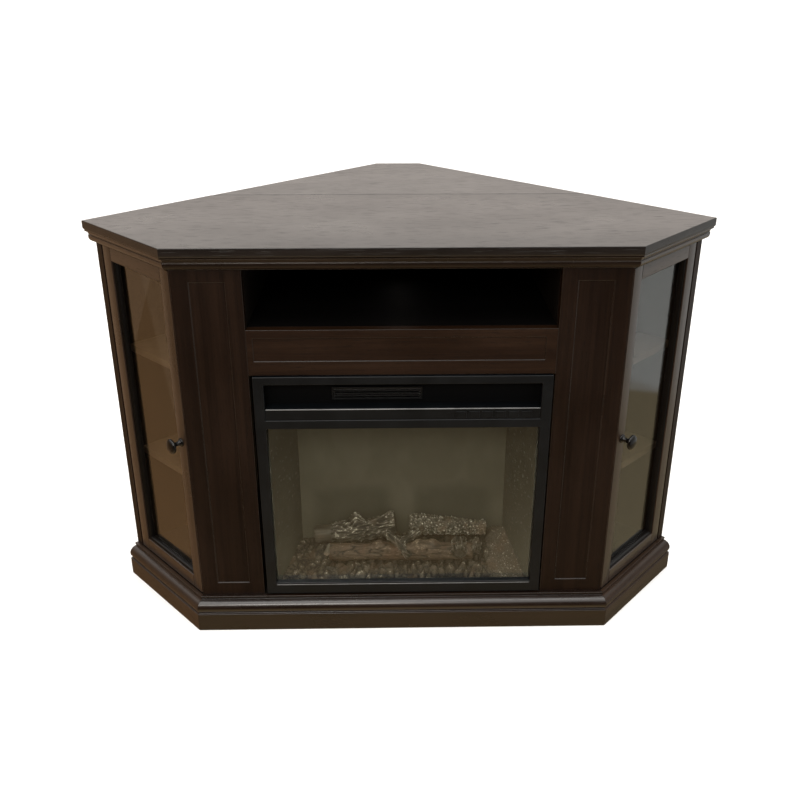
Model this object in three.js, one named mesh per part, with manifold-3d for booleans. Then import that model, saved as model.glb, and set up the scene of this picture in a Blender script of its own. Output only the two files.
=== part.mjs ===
// Corner cabinet with an electric fireplace insert. Millimetres, +X right, +Y back, +Z up.
// The plan is drawn with y = 0 at the front edge of the top and x = 0 on the centre line.
// The last lines shift it so that the origin is the centre of the box that it fills, on the floor.
import * as THREE from 'three';
import { mergeVertices } from 'three/addons/utils/BufferGeometryUtils.js';
import Module from 'manifold-3d';

const wasm = await Module();
wasm.setup();

// ---------------------------------------------------------------- driving dimensions
const CLEARANCE = 0.3; // between pieces that are fitted to each other
const BOARD = 18; // cabinet board

// Plan, seen from above: a front, two 45 degree sides, two 45 degree rear edges, a flat rear
const BEZEL_WIDTH = 557; // front frame of the fireplace insert
const BEZEL_GAP = 4.5; // between the bezel and each pilaster
const PILASTER_WIDTH = 126.7; // from the opening to the corner where the side starts
const SIDE_LENGTH = 259.9; // a 45 degree side of the carcass
const FRONT_OVERHANG = 24.9; // of the top over the carcass
const SIDE_OVERHANG = 22.8;
const SEAM = 400; // front edge of the top to the seam of the fold-down leaf
const SEAM_GAP = 0.8;
const LEAF_REAR = 110.3; // length of the flat rear edge

// Heights, from the floor up
const BASE_HEIGHT = 73;
const INSERT_LIFT = 4; // bezel above the cabinet floor
const BEZEL_HEIGHT = 489;
const RAIL_GAP = 2; // between the bezel and the rail
const RAIL_HEIGHT = 90;
const BAY_HEIGHT = 116;
const CROWN_HEIGHT = 27;
const TOP_THICKNESS = 18;

// Carcass
const RAIL_FIELD = { left: 11, right: 21, bottom: 28, top: 16, depth: 1.5 }; // margins of the sunk field
const PILASTER_FIELD = { inner: 30, outer: 32.7, bottom: 29, top: 25, depth: 2 };
const SIDE_BOARD = 19; // rear side panels
const BACK_THICKNESS = 5;
const CABLE_HOLE = 60;
const SHELF_COUNT = 2; // on each side, with the same space under, between and over them
const SHELF_THICKNESS = 16;
const SHELF_SETBACK = 20; // shelf edge behind the door
const SHELF_PLAY = 1.5;
const VENT = { margin: 12, bottom: 22, top: 32 }; // cut-out of the back behind the insert

// Mouldings: stand-out from the carcass, and heights from their own edges
const CROWN = { foot: 4, fillet: 1, neck: 17, step: 3.5, undercut: 1.5, cove: 15.5 };
const CROWN_NOSE = { standOut: 20, height: 3.5 }; // under the top
const BASE = { plinth: 22, plinthDrop: 33.5, shoulder: 18.5, nose: 14, centre: 8, centreDrop: 21, neck: 6 };
const BASE_LIP = 7; // under the doors

// Doors
const DOOR_THICKNESS = 20;
const DOOR_FREE_GAP = 2.5;
const DOOR_HINGE_GAP = 5.5;
const DOOR_END_GAP = 3.4;
const STILE = 27.5;
const RAIL_UPPER = 26.5;
const RAIL_LOWER = 29;
const BEAD = 7;
const BEAD_SETBACK = 2.5;
const GLASS_SETBACK = 13.5;
const GLASS_THICKNESS = 4;
const KNOB_DROP = 1.5; // knob centre below the middle of the door
const KNOB_INSET = 17.5; // knob centre from the door's free edge
const KNOB_RADIUS = 15;
const KNOB_LENGTH = 28;
const PIVOT = { inset: 10, radius: 2.5, length: 18, flange: 8, play: 0.15 }; // pins above and below a door
const DOOR_STOP = { width: 24, depth: 14, height: 14, offset: 22, sunk: 1 };

// Leaf hinge
const LEAF_AXIS_BACK = 4; // pin behind the carcass back
const LEAF_AXIS_DROP = 4; // pin below the leaf
const LEAF_HINGE_LENGTH = 620;
const LEAF_KNUCKLES = 7;
const LEAF_KNUCKLE_RADIUS = 3;
const LEAF_PIN_RADIUS = 1.4;
const LEAF_PLATE = 2;
const LEAF_PLATE_WIDTH = 34;
const LEAF_PLATE_GAP = 1; // leaf plate behind the knuckles

// Fireplace insert; x is measured from its own centre line
const INSERT_SHIFT = 1.5; // it stands a little to the right in its opening
const BEZEL_BORDER = 20;
const BEZEL_SILL = 26; // bezel below the window
const BEZEL_HEAD = 16; // bezel above the warm air slot
const BEZEL_BAR = 18; // bezel between the window and the control strip
const BEZEL_PROUD = 4;
const BEZEL_DEPTH = 12;
const SLOT_HEIGHT = 52; // warm air slot
const SLOT_DEPTH = 29; // bezel's face to the wall behind the slot
const STRIP_HEIGHT = 22; // control strip, under the slot
const STRIP_SETBACK = 1.5;
const STRIP_THICKNESS = 3;
const LEDGE = 2; // floor of the slot
const PANE_LAP = 6; // how far the pane laps behind the bezel
const PANE_THICKNESS = 4;
const SHEET = 1.5; // sheet metal of the case
const CASE_MARGIN = 12.5; // case inside the bezel's edge, on each side
const CASE_DROP = 4; // case below the bezel's top
const ROOF_RISE = 10; // sheet between the hearth and the blower, above the window
const RUNNER = { inset: 40, width: 20, end: 10 }; // the case stands on two of these
const GRILLE = { left: -134.5, right: 36.5, rise: 9, drop: 17, frame: 3.5, bars: 4, bar: 2, thickness: 4 };
const BUTTON = { count: 6, last: 26.5, pitch: 24.6, width: 20, margin: 3.5, proud: 1, travel: 1 };
const BUTTON_FLANGE = 1;
const BUTTON_LENGTH = 6;
const SWITCH = { height: 3.5, half: 3, spare: 1 };
const CIRCUIT = { thickness: 1.6, left: 10, right: 14, margin: 1 };

// Hearth: depths run back from the liner's front, heights up from the bottom of the insert
const HEARTH = { depth: 111.5, frontMargin: 2.5, backMargin: 43.5, liner: 4 };
const SCREEN_THICKNESS = 3;
const BED = { front: 2.5, lip: 9, step: 23.5, frontTop: 35, rearStep: 44, rise: 8, rearTop: 55, gap: 1 };
const FRONT_LOG = { left: 61, right: 69, forward: 22, radius: 20, sunk: 2 };
const LOGS = {
  left: { inset: 29, high: -14, forward: 29, lift: 23, radius: 22 },
  right: { inset: 18, high: 16, forward: 27, lift: 17, radius: 20 },
};
const LOG_FLARE = 2; // a log's upper end is this much thicker

// Behind the hearth and over it
const ROTOR_SPACE = 64; // back of the hearth to the back of the case
const ROTOR = { rod: 3, blade: 13, bladeWidth: 12, phases: 4, rings: 9, rise: 63, margin: 20 };
const BRACKET = { inset: 70, half: 12, rise: 12 };
const DUCT = { side: 3.5, floor: 1, drop: 5, depth: 106.3, wall: 2 };
const BLOWER = { left: 10.5, right: 12.5, shaft: 3, play: 3, back: 38, blades: 8, rim: 3, web: 6 };
const HEATER = { bars: 3, front: 12, back: 26, rise: 9, pitch: 11, height: 5 };
const FOOT = { width: 12, front: 40, back: 10 };
const BLOWER_MOTOR = { length: 34, shaft: 14, radius: 17 };
const ROTOR_MOTOR = { length: 26, shaft: 14, radius: 15 };
const SHAFT_END = 3; // a motor's shaft hole is this much deeper than its shaft
const CORD_INLET = { inset: 61, rise: 33, radius: 9, stand: 5, bore: 3.5 };

// ---------------------------------------------------------------- derived places
const CARCASS_FRONT = FRONT_OVERHANG;
const CARCASS_BACK = SEAM;
const BOARD_BACK = CARCASS_FRONT + BOARD;
const PANEL_BACK = CARCASS_BACK - BACK_THICKNESS;
const HALF_OPENING = BEZEL_WIDTH / 2 + BEZEL_GAP;
const CORNER_X = HALF_OPENING + PILASTER_WIDTH;
const SIDE_LINE = CORNER_X - CARCASS_FRONT; // x - y along a door
const HALF_TOP_FRONT = SIDE_LINE + SIDE_OVERHANG * Math.SQRT2;
const REAR_SUM = CORNER_X + CARCASS_FRONT + SIDE_LENGTH * Math.SQRT2; // x + y along a rear edge
const HALF_WIDTH = (HALF_TOP_FRONT + REAR_SUM) / 2;
const SIDE_CORNER_Y = (REAR_SUM - HALF_TOP_FRONT) / 2; // where a side meets a rear edge
const DEPTH = REAR_SUM - LEAF_REAR / 2;
const POST = SIDE_LENGTH - SIDE_BOARD; // where a rear side panel starts along the side
const DECK_BOTTOM = BASE_HEIGHT - BOARD;
const INSERT_BOTTOM = BASE_HEIGHT + INSERT_LIFT;
const BEZEL_TOP = INSERT_BOTTOM + BEZEL_HEIGHT;
const RAIL_BOTTOM = BEZEL_TOP + RAIL_GAP;
const RAIL_TOP = RAIL_BOTTOM + RAIL_HEIGHT;
const HEADER_BOTTOM = RAIL_TOP + BAY_HEIGHT;
const TOP_BOTTOM = HEADER_BOTTOM + CROWN_HEIGHT;
const HEIGHT = TOP_BOTTOM + TOP_THICKNESS;

// ---------------------------------------------------------------- finishes
const FINISHES = {
  veneer: [0x2b1d18, 0.42, 0.0],
  topVeneer: [0x4a3c34, 0.38, 0.0],
  board: [0x1c1512, 0.7, 0.0],
  glass: [0x9aa09a, 0.08, 0.0],
  smokedGlass: [0x3a3c34, 0.08, 0.0],
  bronze: [0x17130f, 0.3, 0.7],
  steel: [0x8c8c88, 0.4, 0.9],
  blackMetal: [0x1d2020, 0.45, 0.3],
  blackPlastic: [0x151616, 0.5, 0.0],
  sheetMetal: [0x6d6f70, 0.5, 0.8],
  brick: [0x4a4740, 0.9, 0.0],
  screen: [0x3c3b33, 0.6, 0.0],
  ember: [0x4c453d, 0.95, 0.0],
  log: [0x5c554c, 0.95, 0.0],
  circuit: [0x1f4630, 0.6, 0.0],
};

function finish(name) {
  const [color, roughness, metalness] = FINISHES[name];
  return new THREE.MeshStandardMaterial({ color, roughness, metalness });
}

function addPiece(parent, name, finishName, geometry) {
  geometry.computeVertexNormals();
  const piece = new THREE.Mesh(geometry, finish(finishName));
  piece.name = name;
  parent.add(piece);
  return piece;
}

// ---------------------------------------------------------------- geometry helpers
function bare(geometry) {
  geometry.deleteAttribute('normal');
  geometry.deleteAttribute('uv');
  return mergeVertices(geometry, 1e-4);
}

function toSolid(geometry) {
  const merged = bare(geometry);
  return new wasm.Manifold(new wasm.Mesh({
    numProp: 3,
    vertProperties: Float32Array.from(merged.attributes.position.array),
    triVerts: Uint32Array.from(merged.index.array),
  }));
}

function toGeometry(solid) {
  const mesh = solid.getMesh();
  const geometry = new THREE.BufferGeometry();
  geometry.setAttribute('position', new THREE.BufferAttribute(mesh.vertProperties, 3));
  geometry.setIndex(new THREE.BufferAttribute(mesh.triVerts, 1));
  return geometry;
}

function cut(body, ...tools) {
  return toGeometry(tools.reduce((solid, tool) => solid.subtract(toSolid(tool)), toSolid(body)));
}

function join(body, ...others) {
  return toGeometry(others.reduce((solid, other) => solid.add(toSolid(other)), toSolid(body)));
}

function common(body, other) {
  return toGeometry(toSolid(body).intersect(toSolid(other)));
}

function block([x0, x1], [y0, y1], [z0, z1]) {
  const box = new THREE.BoxGeometry(x1 - x0, y1 - y0, z1 - z0);
  return box.translate((x0 + x1) / 2, (y0 + y1) / 2, (z0 + z1) / 2);
}

function outline(points) {
  return new THREE.Shape(points.map(([x, y]) => new THREE.Vector2(x, y)));
}

function rectangle([x0, x1], [y0, y1]) {
  return outline([[x0, y0], [x1, y0], [x1, y1], [x0, y1]]);
}

// An outline drawn in plan, raised from z0 to z1
function planPrism(points, [z0, z1]) {
  const settings = { depth: z1 - z0, bevelEnabled: false };
  return new THREE.ExtrudeGeometry(outline(points), settings).translate(0, 0, z0);
}

// A shape drawn as (x, z), seen from the front, running from y0 back to y1
function frontPrism(shape, [y0, y1]) {
  const settings = { depth: y1 - y0, bevelEnabled: false, curveSegments: 12 };
  return new THREE.ExtrudeGeometry(shape, settings).rotateX(Math.PI / 2).translate(0, y1, 0);
}

// A shape drawn as (y, z), seen from the right, running from x0 to x1
function sidePrism(shape, [x0, x1]) {
  const settings = { depth: x1 - x0, bevelEnabled: false };
  const turn = new THREE.Matrix4().makeBasis(
    new THREE.Vector3(0, 1, 0), new THREE.Vector3(0, 0, 1), new THREE.Vector3(1, 0, 0));
  return new THREE.ExtrudeGeometry(shape, settings).applyMatrix4(turn).translate(x0, 0, 0);
}

function frameShape([x0, x1], [z0, z1], border) {
  const shape = rectangle([x0, x1], [z0, z1]);
  shape.holes.push(rectangle([x0 + border, x1 - border], [z0 + border, z1 - border]));
  return shape;
}

function rod(radius, length, segments = 16) {
  return new THREE.CylinderGeometry(radius, radius, length, segments);
}

// Upright, from z0 to z1
function post(radius, [x, y], [z0, z1], segments) {
  return rod(radius, z1 - z0, segments).rotateX(Math.PI / 2).translate(x, y, (z0 + z1) / 2);
}

// Along X, from x0 to x1
function axle(radius, [x0, x1], [y, z], segments) {
  return rod(radius, x1 - x0, segments).rotateZ(Math.PI / 2).translate((x0 + x1) / 2, y, z);
}

// Along Y, from y0 to y1
function stud(radius, [x, z], [y0, y1], segments) {
  return rod(radius, y1 - y0, segments).translate(x, (y0 + y1) / 2, z);
}

// A span that is measured outwards from the centre line, on the right (1) or on the left (-1)
function outwards(side, inner, outer) {
  return side > 0 ? [inner, outer] : [-outer, -inner];
}

function mirrored(side, points) {
  return points.map(([x, y]) => [side * x, y]);
}

function arc([cx, cy], radius, fromDegrees, toDegrees, steps) {
  const points = [];
  for (let i = 0; i <= steps; i += 1) {
    const angle = THREE.MathUtils.degToRad(fromDegrees + ((toDegrees - fromDegrees) * i) / steps);
    points.push([cx + radius * Math.cos(angle), cy + radius * Math.sin(angle)]);
  }
  return points;
}

// A length of moulding. Its profile is a list of (stand-out from the carcass, height). Ends are
// mitred for a turn of the wall, in degrees, or square at 0.
function moulding(profile, start, end, startTurn, endTurn) {
  const from = new THREE.Vector2(...start);
  const along = new THREE.Vector2(...end).sub(from);
  const length = along.length();
  along.normalize();
  const shape = outline(profile.map(([standOut, height]) => [-standOut, height]));
  const geometry = new THREE.ExtrudeGeometry(shape, { depth: length, bevelEnabled: false });
  const shear = (turn) => Math.tan(THREE.MathUtils.degToRad(turn) / 2);
  const place = geometry.attributes.position;
  for (let i = 0; i < place.count; i += 1) {
    const standOut = -place.getX(i);
    const atEnd = place.getZ(i) > length / 2;
    const run = atEnd ? length + standOut * shear(endTurn) : -standOut * shear(startTurn);
    place.setZ(i, run);
  }
  const turn = new THREE.Matrix4().makeBasis(
    new THREE.Vector3(-along.y, along.x, 0),
    new THREE.Vector3(0, 0, 1),
    new THREE.Vector3(along.x, along.y, 0));
  return geometry.applyMatrix4(turn).translate(from.x, from.y, 0);
}

// The 45 degree side: local x runs along the door (outwards), local y runs into the cabinet
function sideFrame(side) {
  const frame = new THREE.Group();
  frame.position.set(side * CORNER_X, CARCASS_FRONT, 0);
  frame.rotation.z = (side * Math.PI) / 4;
  return frame;
}

// Places a piece of a side in the cabinet's own frame
function frameMatrix(name) {
  const frame = sideFrames.get(name);
  frame.updateMatrix();
  return frame.matrix;
}

const cabinet = new THREE.Group();
const sides = [['left', -1], ['right', 1]];
const sideFrames = new Map(sides.map(([name, side]) => [name, sideFrame(side)]));
sideFrames.forEach((frame) => cabinet.add(frame));

// ---------------------------------------------------------------- top and its leaf
function addTop() {
  const seamFront = SEAM - SEAM_GAP / 2;
  const seamBack = SEAM + SEAM_GAP / 2;
  const rearHalf = REAR_SUM - DEPTH;
  const frontPlan = [
    [-HALF_TOP_FRONT, 0], [HALF_TOP_FRONT, 0],
    [HALF_WIDTH, SIDE_CORNER_Y], [REAR_SUM - seamFront, seamFront],
    [seamFront - REAR_SUM, seamFront], [-HALF_WIDTH, SIDE_CORNER_Y],
  ];
  const leafPlan = [
    [seamBack - REAR_SUM, seamBack], [REAR_SUM - seamBack, seamBack],
    [rearHalf, DEPTH], [-rearHalf, DEPTH],
  ];
  addPiece(cabinet, 'top_panel', 'topVeneer', planPrism(frontPlan, [TOP_BOTTOM, HEIGHT]));
  addPiece(cabinet, 'rear_leaf', 'topVeneer', planPrism(leafPlan, [TOP_BOTTOM, HEIGHT]));
}

// A continuous hinge: the bracket holds the pin and every other knuckle, the leaf has the rest
function addLeafHinge() {
  const axisY = CARCASS_BACK + LEAF_AXIS_BACK;
  const at = [axisY, TOP_BOTTOM - LEAF_AXIS_DROP];
  const start = -LEAF_HINGE_LENGTH / 2;
  const pitch = LEAF_HINGE_LENGTH / LEAF_KNUCKLES;
  const whole = [start, -start];
  const lugTop = at[1] - LEAF_KNUCKLE_RADIUS / 2;
  const lugBottom = lugTop - LEAF_PLATE;
  const bracketParts = [
    block(whole, [CARCASS_BACK, CARCASS_BACK + LEAF_PLATE], [lugTop - LEAF_PLATE_WIDTH, lugBottom]),
    axle(LEAF_PIN_RADIUS, whole, at, 12),
  ];
  const swing = axisY + LEAF_KNUCKLE_RADIUS + LEAF_PLATE_GAP;
  const leafPlate = block(whole, [swing, axisY + LEAF_PLATE_WIDTH], [TOP_BOTTOM - LEAF_PLATE, TOP_BOTTOM]);
  const leafParts = [leafPlate];
  for (let i = 0; i < LEAF_KNUCKLES; i += 1) {
    const x = [start + i * pitch, start + (i + 1) * pitch];
    if (i % 2 === 0) {
      bracketParts.push(axle(LEAF_KNUCKLE_RADIUS, x, at, 12));
      bracketParts.push(block(x, [CARCASS_BACK, axisY], [lugBottom, lugTop]));
    } else {
      const free = [x[0] + CLEARANCE, x[1] - CLEARANCE];
      leafParts.push(axle(LEAF_KNUCKLE_RADIUS, free, at, 12));
      leafParts.push(block(free, [axisY, swing], [at[1], TOP_BOTTOM]));
    }
  }
  addPiece(cabinet, 'leaf_hinge_bracket', 'steel', join(...bracketParts));
  const bore = axle(LEAF_PIN_RADIUS + CLEARANCE, [start - 1, 1 - start], at, 12);
  addPiece(cabinet, 'leaf_hinge_leaf', 'steel', cut(join(...leafParts), bore));
}

// ---------------------------------------------------------------- mouldings
const MITRE = 45;

// A rounded bead, a small step back, a cove and a square nose under the top
function crownProfile() {
  const bead = CROWN_HEIGHT - CROWN.neck;
  const beadBottom = HEADER_BOTTOM + CROWN.fillet;
  const beadTop = beadBottom + bead + CROWN.step;
  const noseBottom = TOP_BOTTOM - CROWN_NOSE.height;
  return [
    [0, HEADER_BOTTOM], [CROWN.foot, HEADER_BOTTOM],
    ...arc([CROWN.foot, beadBottom + bead], bead, -90, 0, 5),
    [CROWN.foot + bead, beadTop], [CROWN.foot + bead - CROWN.undercut, beadTop + CROWN.fillet],
    [CROWN.cove, noseBottom - CROWN.fillet], [CROWN_NOSE.standOut, noseBottom],
    [CROWN_NOSE.standOut, TOP_BOTTOM], [0, TOP_BOTTOM],
  ];
}

// A plinth, a bullnose over it and a low lip at the cabinet floor
function baseProfile() {
  const plinthTop = BASE_HEIGHT - BASE.plinthDrop;
  const middle = BASE_HEIGHT - BASE.centreDrop;
  const noseTop = middle + BASE.nose;
  return [
    [0, 0], [BASE.plinth, 0], [BASE.plinth, plinthTop], [BASE.shoulder, plinthTop + 1],
    ...arc([BASE.centre, middle], BASE.nose, -45, 90, 8),
    [BASE.neck, noseTop], [BASE.neck, noseTop + 2], [BASE_LIP, noseTop + 3],
    [BASE_LIP, BASE_HEIGHT], [0, BASE_HEIGHT],
  ];
}

function addMoulding(name, profile) {
  const corner = [CORNER_X, CARCASS_FRONT];
  const rear = [CORNER_X + SIDE_LENGTH / Math.SQRT2, CARCASS_FRONT + SIDE_LENGTH / Math.SQRT2];
  const nudge = CLEARANCE / Math.SQRT2;
  const near = [corner[0] + nudge, corner[1] + nudge];
  const [cornerLeft, rearLeft, nearLeft] = mirrored(-1, [corner, rear, near]);
  const front = moulding(profile, cornerLeft, corner, MITRE, MITRE);
  const right = moulding(profile, near, rear, MITRE, 0);
  const left = moulding(profile, rearLeft, nearLeft, 0, MITRE);
  addPiece(cabinet, `${name}_front`, 'veneer', front);
  addPiece(cabinet, `${name}_left`, 'veneer', left);
  addPiece(cabinet, `${name}_right`, 'veneer', right);
}

// ---------------------------------------------------------------- carcass
// Plan of a front board: its ends are cut at 45 degrees, square to the doors
function frontBoardPlan(inner) {
  return [
    [inner, CARCASS_FRONT], [CORNER_X, CARCASS_FRONT],
    [CORNER_X - BOARD, BOARD_BACK], [inner, BOARD_BACK],
  ];
}

function sunkField(x, z, depth) {
  return block(x, [CARCASS_FRONT - 1, CARCASS_FRONT + depth], z);
}

function addPilasters() {
  const { inner, outer, bottom, top, depth } = PILASTER_FIELD;
  for (const [name, side] of sides) {
    const board = planPrism(mirrored(side, frontBoardPlan(HALF_OPENING)), [BASE_HEIGHT, HEADER_BOTTOM]);
    const field = sunkField(outwards(side, HALF_OPENING + inner, CORNER_X - outer),
      [BASE_HEIGHT + bottom, HEADER_BOTTOM - top], depth);
    addPiece(cabinet, `pilaster_${name}`, 'veneer', cut(board, field));
  }
}

function addRail() {
  const { left, right, bottom, top, depth } = RAIL_FIELD;
  const rail = block([-HALF_OPENING, HALF_OPENING], [CARCASS_FRONT, BOARD_BACK], [RAIL_BOTTOM, RAIL_TOP]);
  const field = sunkField([-HALF_OPENING + left, HALF_OPENING - right],
    [RAIL_BOTTOM + bottom, RAIL_TOP - top], depth);
  addPiece(cabinet, 'fascia_rail', 'veneer', cut(rail, field));
}

function addHeaders() {
  const rightEnd = frontBoardPlan(0).slice(1, 3);
  const height = [HEADER_BOTTOM, TOP_BOTTOM];
  const front = planPrism([...mirrored(-1, rightEnd).reverse(), ...rightEnd], height);
  const arms = sides.flatMap(([name, side]) => [
    block(outwards(side, CLEARANCE, POST - CLEARANCE), [CLEARANCE, BOARD], height),
    block(outwards(side, -BOARD / 3, BOARD), [BOARD / 2, BOARD], height),
  ].map((piece) => piece.applyMatrix4(frameMatrix(name))));
  addPiece(cabinet, 'top_frame', 'veneer', join(front, ...arms));
}

function addPanels() {
  const sidePanelDepth = (CARCASS_BACK - CARCASS_FRONT) * Math.SQRT2 - SIDE_LENGTH;
  for (const [name, side] of sides) {
    const partition = block(outwards(side, HALF_OPENING, HALF_OPENING + BOARD),
      [BOARD_BACK, PANEL_BACK], [BASE_HEIGHT, TOP_BOTTOM]);
    addPiece(cabinet, `partition_${name}`, 'board', partition);
    const sidePanel = block(outwards(side, POST, SIDE_LENGTH), [0, sidePanelDepth],
      [BASE_HEIGHT, TOP_BOTTOM]);
    addPiece(sideFrames.get(name), `side_panel_${name}`, 'veneer', sidePanel);
  }
  addPiece(cabinet, 'media_shelf', 'veneer',
    block([-HALF_OPENING, HALF_OPENING], [BOARD_BACK, PANEL_BACK], [RAIL_TOP - BOARD, RAIL_TOP]));
}

function addBack() {
  const half = REAR_SUM - CARCASS_BACK - BACK_THICKNESS - 1;
  const ventHalf = HALF_OPENING - VENT.margin;
  const sheet = rectangle([-half, half], [BASE_HEIGHT, TOP_BOTTOM]);
  sheet.holes.push(rectangle([-ventHalf, ventHalf], [BASE_HEIGHT + VENT.bottom, RAIL_BOTTOM + VENT.top]));
  const bayMiddle = (RAIL_TOP + HEADER_BOTTOM) / 2;
  const cable = stud(CABLE_HOLE / 2, [0, bayMiddle], [PANEL_BACK - 1, CARCASS_BACK + 1], 20);
  addPiece(cabinet, 'back_panel', 'board', cut(frontPrism(sheet, [PANEL_BACK, CARCASS_BACK]), cable));
}

// Cabinet floor or shelf outline, right half, between two x + y and x - y lines
function cabinetPlan(inner, front, back, sideLine, rearSum) {
  return [
    [inner, front], [sideLine + front, front],
    [(sideLine + rearSum) / 2, (rearSum - sideLine) / 2],
    [rearSum - back, back], [inner, back],
  ];
}

function addShelves() {
  const inner = HALF_OPENING + BOARD + CLEARANCE;
  const sideLine = SIDE_LINE - (DOOR_THICKNESS + SHELF_SETBACK) * Math.SQRT2;
  const panelInner = CORNER_X + CARCASS_FRONT + POST * Math.SQRT2;
  const plan = cabinetPlan(inner, BOARD_BACK + SHELF_PLAY, PANEL_BACK - CLEARANCE,
    sideLine, panelInner - CLEARANCE * Math.SQRT2);
  const space = (HEADER_BOTTOM - BASE_HEIGHT - SHELF_COUNT * SHELF_THICKNESS) / (SHELF_COUNT + 1);
  for (const [name, side] of sides) {
    for (const [index, level] of ['lower', 'upper'].entries()) {
      const bottom = BASE_HEIGHT + space + index * (space + SHELF_THICKNESS);
      addPiece(cabinet, `cabinet_shelf_${name}_${level}`, 'board',
        planPrism(mirrored(side, plan), [bottom, bottom + SHELF_THICKNESS]));
    }
  }
}

// ---------------------------------------------------------------- base
// A block glued to the cabinet floor that the free side of a door closes against
function doorStop([name, side]) {
  const start = DOOR_START + DOOR_STOP.offset;
  const front = DOOR_THICKNESS + CLEARANCE;
  const stop = block(outwards(side, start, start + DOOR_STOP.width), [front, front + DOOR_STOP.depth],
    [BASE_HEIGHT - DOOR_STOP.sunk, BASE_HEIGHT + DOOR_STOP.height]);
  return stop.applyMatrix4(frameMatrix(name));
}

function addBase() {
  const sideLine = SIDE_LINE - CLEARANCE * Math.SQRT2;
  const right = cabinetPlan(0, CARCASS_FRONT, CARCASS_BACK, sideLine, REAR_SUM).slice(1, 4);
  const plan = [...mirrored(-1, right).reverse(), ...right];
  addPiece(cabinet, 'base_deck', 'board',
    join(planPrism(plan, [DECK_BOTTOM, BASE_HEIGHT]), ...sides.map(doorStop)));
  const height = [0, DECK_BOTTOM];
  const runBack = (CARCASS_BACK - CARCASS_FRONT) * Math.SQRT2 - SIDE_LENGTH;
  const corner = REAR_SUM - CARCASS_BACK;
  const boards = [block([-corner, corner], [CARCASS_BACK - BOARD, CARCASS_BACK], height)];
  for (const [name, side] of sides) {
    const rear = block(outwards(side, SIDE_LENGTH - BOARD, SIDE_LENGTH), [CLEARANCE, runBack], height);
    boards.push(rear.applyMatrix4(frameMatrix(name)));
    boards.push(block(outwards(side, HALF_OPENING, HALF_OPENING + BOARD),
      [CARCASS_FRONT, CARCASS_BACK - 1], height));
  }
  addPiece(cabinet, 'base_frame', 'board', join(...boards));
}

// ---------------------------------------------------------------- doors
const DOOR_START = DOOR_FREE_GAP;
const DOOR_END = POST - DOOR_HINGE_GAP;
const DOOR_BOTTOM = BASE_HEIGHT + DOOR_END_GAP;
const DOOR_TOP = HEADER_BOTTOM - DOOR_END_GAP;
const KNOB_HEIGHT = (DOOR_BOTTOM + DOOR_TOP) / 2 - KNOB_DROP;
const PIVOT_AT = DOOR_END - PIVOT.inset;

// Half section of a knob: distance from its axis, height above the door
function knobProfile() {
  const capEdge = KNOB_LENGTH - 6.5;
  const dome = arc([0, 0], 1, 0, 90, 4).slice(1, -1).map(([r, h]) => (
    [r * KNOB_RADIUS, capEdge + h * (KNOB_LENGTH - capEdge)]));
  const seat = CLEARANCE / 2;
  return [
    [0, seat], [8.5, seat], [8.5, 2.5], [5.5, 5], [4.2, 9], [4.4, 14], [7, 17],
    [KNOB_RADIUS - 2, capEdge - 3], [KNOB_RADIUS, capEdge], ...dome, [0, KNOB_LENGTH],
  ].map(([radius, height]) => new THREE.Vector2(radius, height));
}

function addDoor(name, side) {
  const frame = sideFrames.get(name);
  const inner = [DOOR_START + STILE, DOOR_END - STILE];
  const apertureZ = [DOOR_BOTTOM + RAIL_LOWER, DOOR_TOP - RAIL_UPPER];
  const face = rectangle(outwards(side, DOOR_START, DOOR_END), [DOOR_BOTTOM, DOOR_TOP]);
  face.holes.push(rectangle(outwards(side, ...inner), apertureZ));
  const at = [side * PIVOT_AT, DOOR_THICKNESS / 2];
  const bore = (height) => post(PIVOT.radius + PIVOT.play, at, height, 16);
  const bores = [
    bore([DOOR_BOTTOM - 1, DOOR_BOTTOM + PIVOT.length + 1]),
    bore([DOOR_TOP - PIVOT.length - 1, DOOR_TOP + 1]),
  ];
  addPiece(frame, `door_${name}_frame`, 'veneer', cut(frontPrism(face, [0, DOOR_THICKNESS]), ...bores));
  const fitX = outwards(side, inner[0] + CLEARANCE, inner[1] - CLEARANCE);
  const fitZ = [apertureZ[0] + CLEARANCE, apertureZ[1] - CLEARANCE];
  addPiece(frame, `door_${name}_bead`, 'veneer',
    frontPrism(frameShape(fitX, fitZ, BEAD), [BEAD_SETBACK, GLASS_SETBACK - CLEARANCE]));
  addPiece(frame, `door_${name}_glass`, 'glass',
    block(fitX, [GLASS_SETBACK, GLASS_SETBACK + GLASS_THICKNESS], fitZ));
  const knob = new THREE.LatheGeometry(knobProfile(), 20);
  knob.rotateX(Math.PI).translate(side * (DOOR_START + KNOB_INSET), 0, KNOB_HEIGHT);
  addPiece(frame, `door_${name}_knob`, 'bronze', knob);
}

// Pins that the door turns on, each on a flange that fills the gap above or below it
function addPivots(name, side) {
  const at = [side * PIVOT_AT, DOOR_THICKNESS / 2];
  const pin = (flangeZ, pinZ) => (
    join(post(PIVOT.flange, at, flangeZ, 16), post(PIVOT.radius, at, pinZ, 16)));
  const frame = sideFrames.get(name);
  addPiece(frame, `pivot_${name}_lower`, 'steel',
    pin([BASE_HEIGHT, DOOR_BOTTOM - CLEARANCE], [BASE_HEIGHT, DOOR_BOTTOM + PIVOT.length]));
  addPiece(frame, `pivot_${name}_upper`, 'steel',
    pin([DOOR_TOP + CLEARANCE, HEADER_BOTTOM], [DOOR_TOP - PIVOT.length, HEADER_BOTTOM]));
}

// ---------------------------------------------------------------- fireplace insert
const insert = new THREE.Group();
insert.position.set(INSERT_SHIFT, 0, 0);
cabinet.add(insert);

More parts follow.
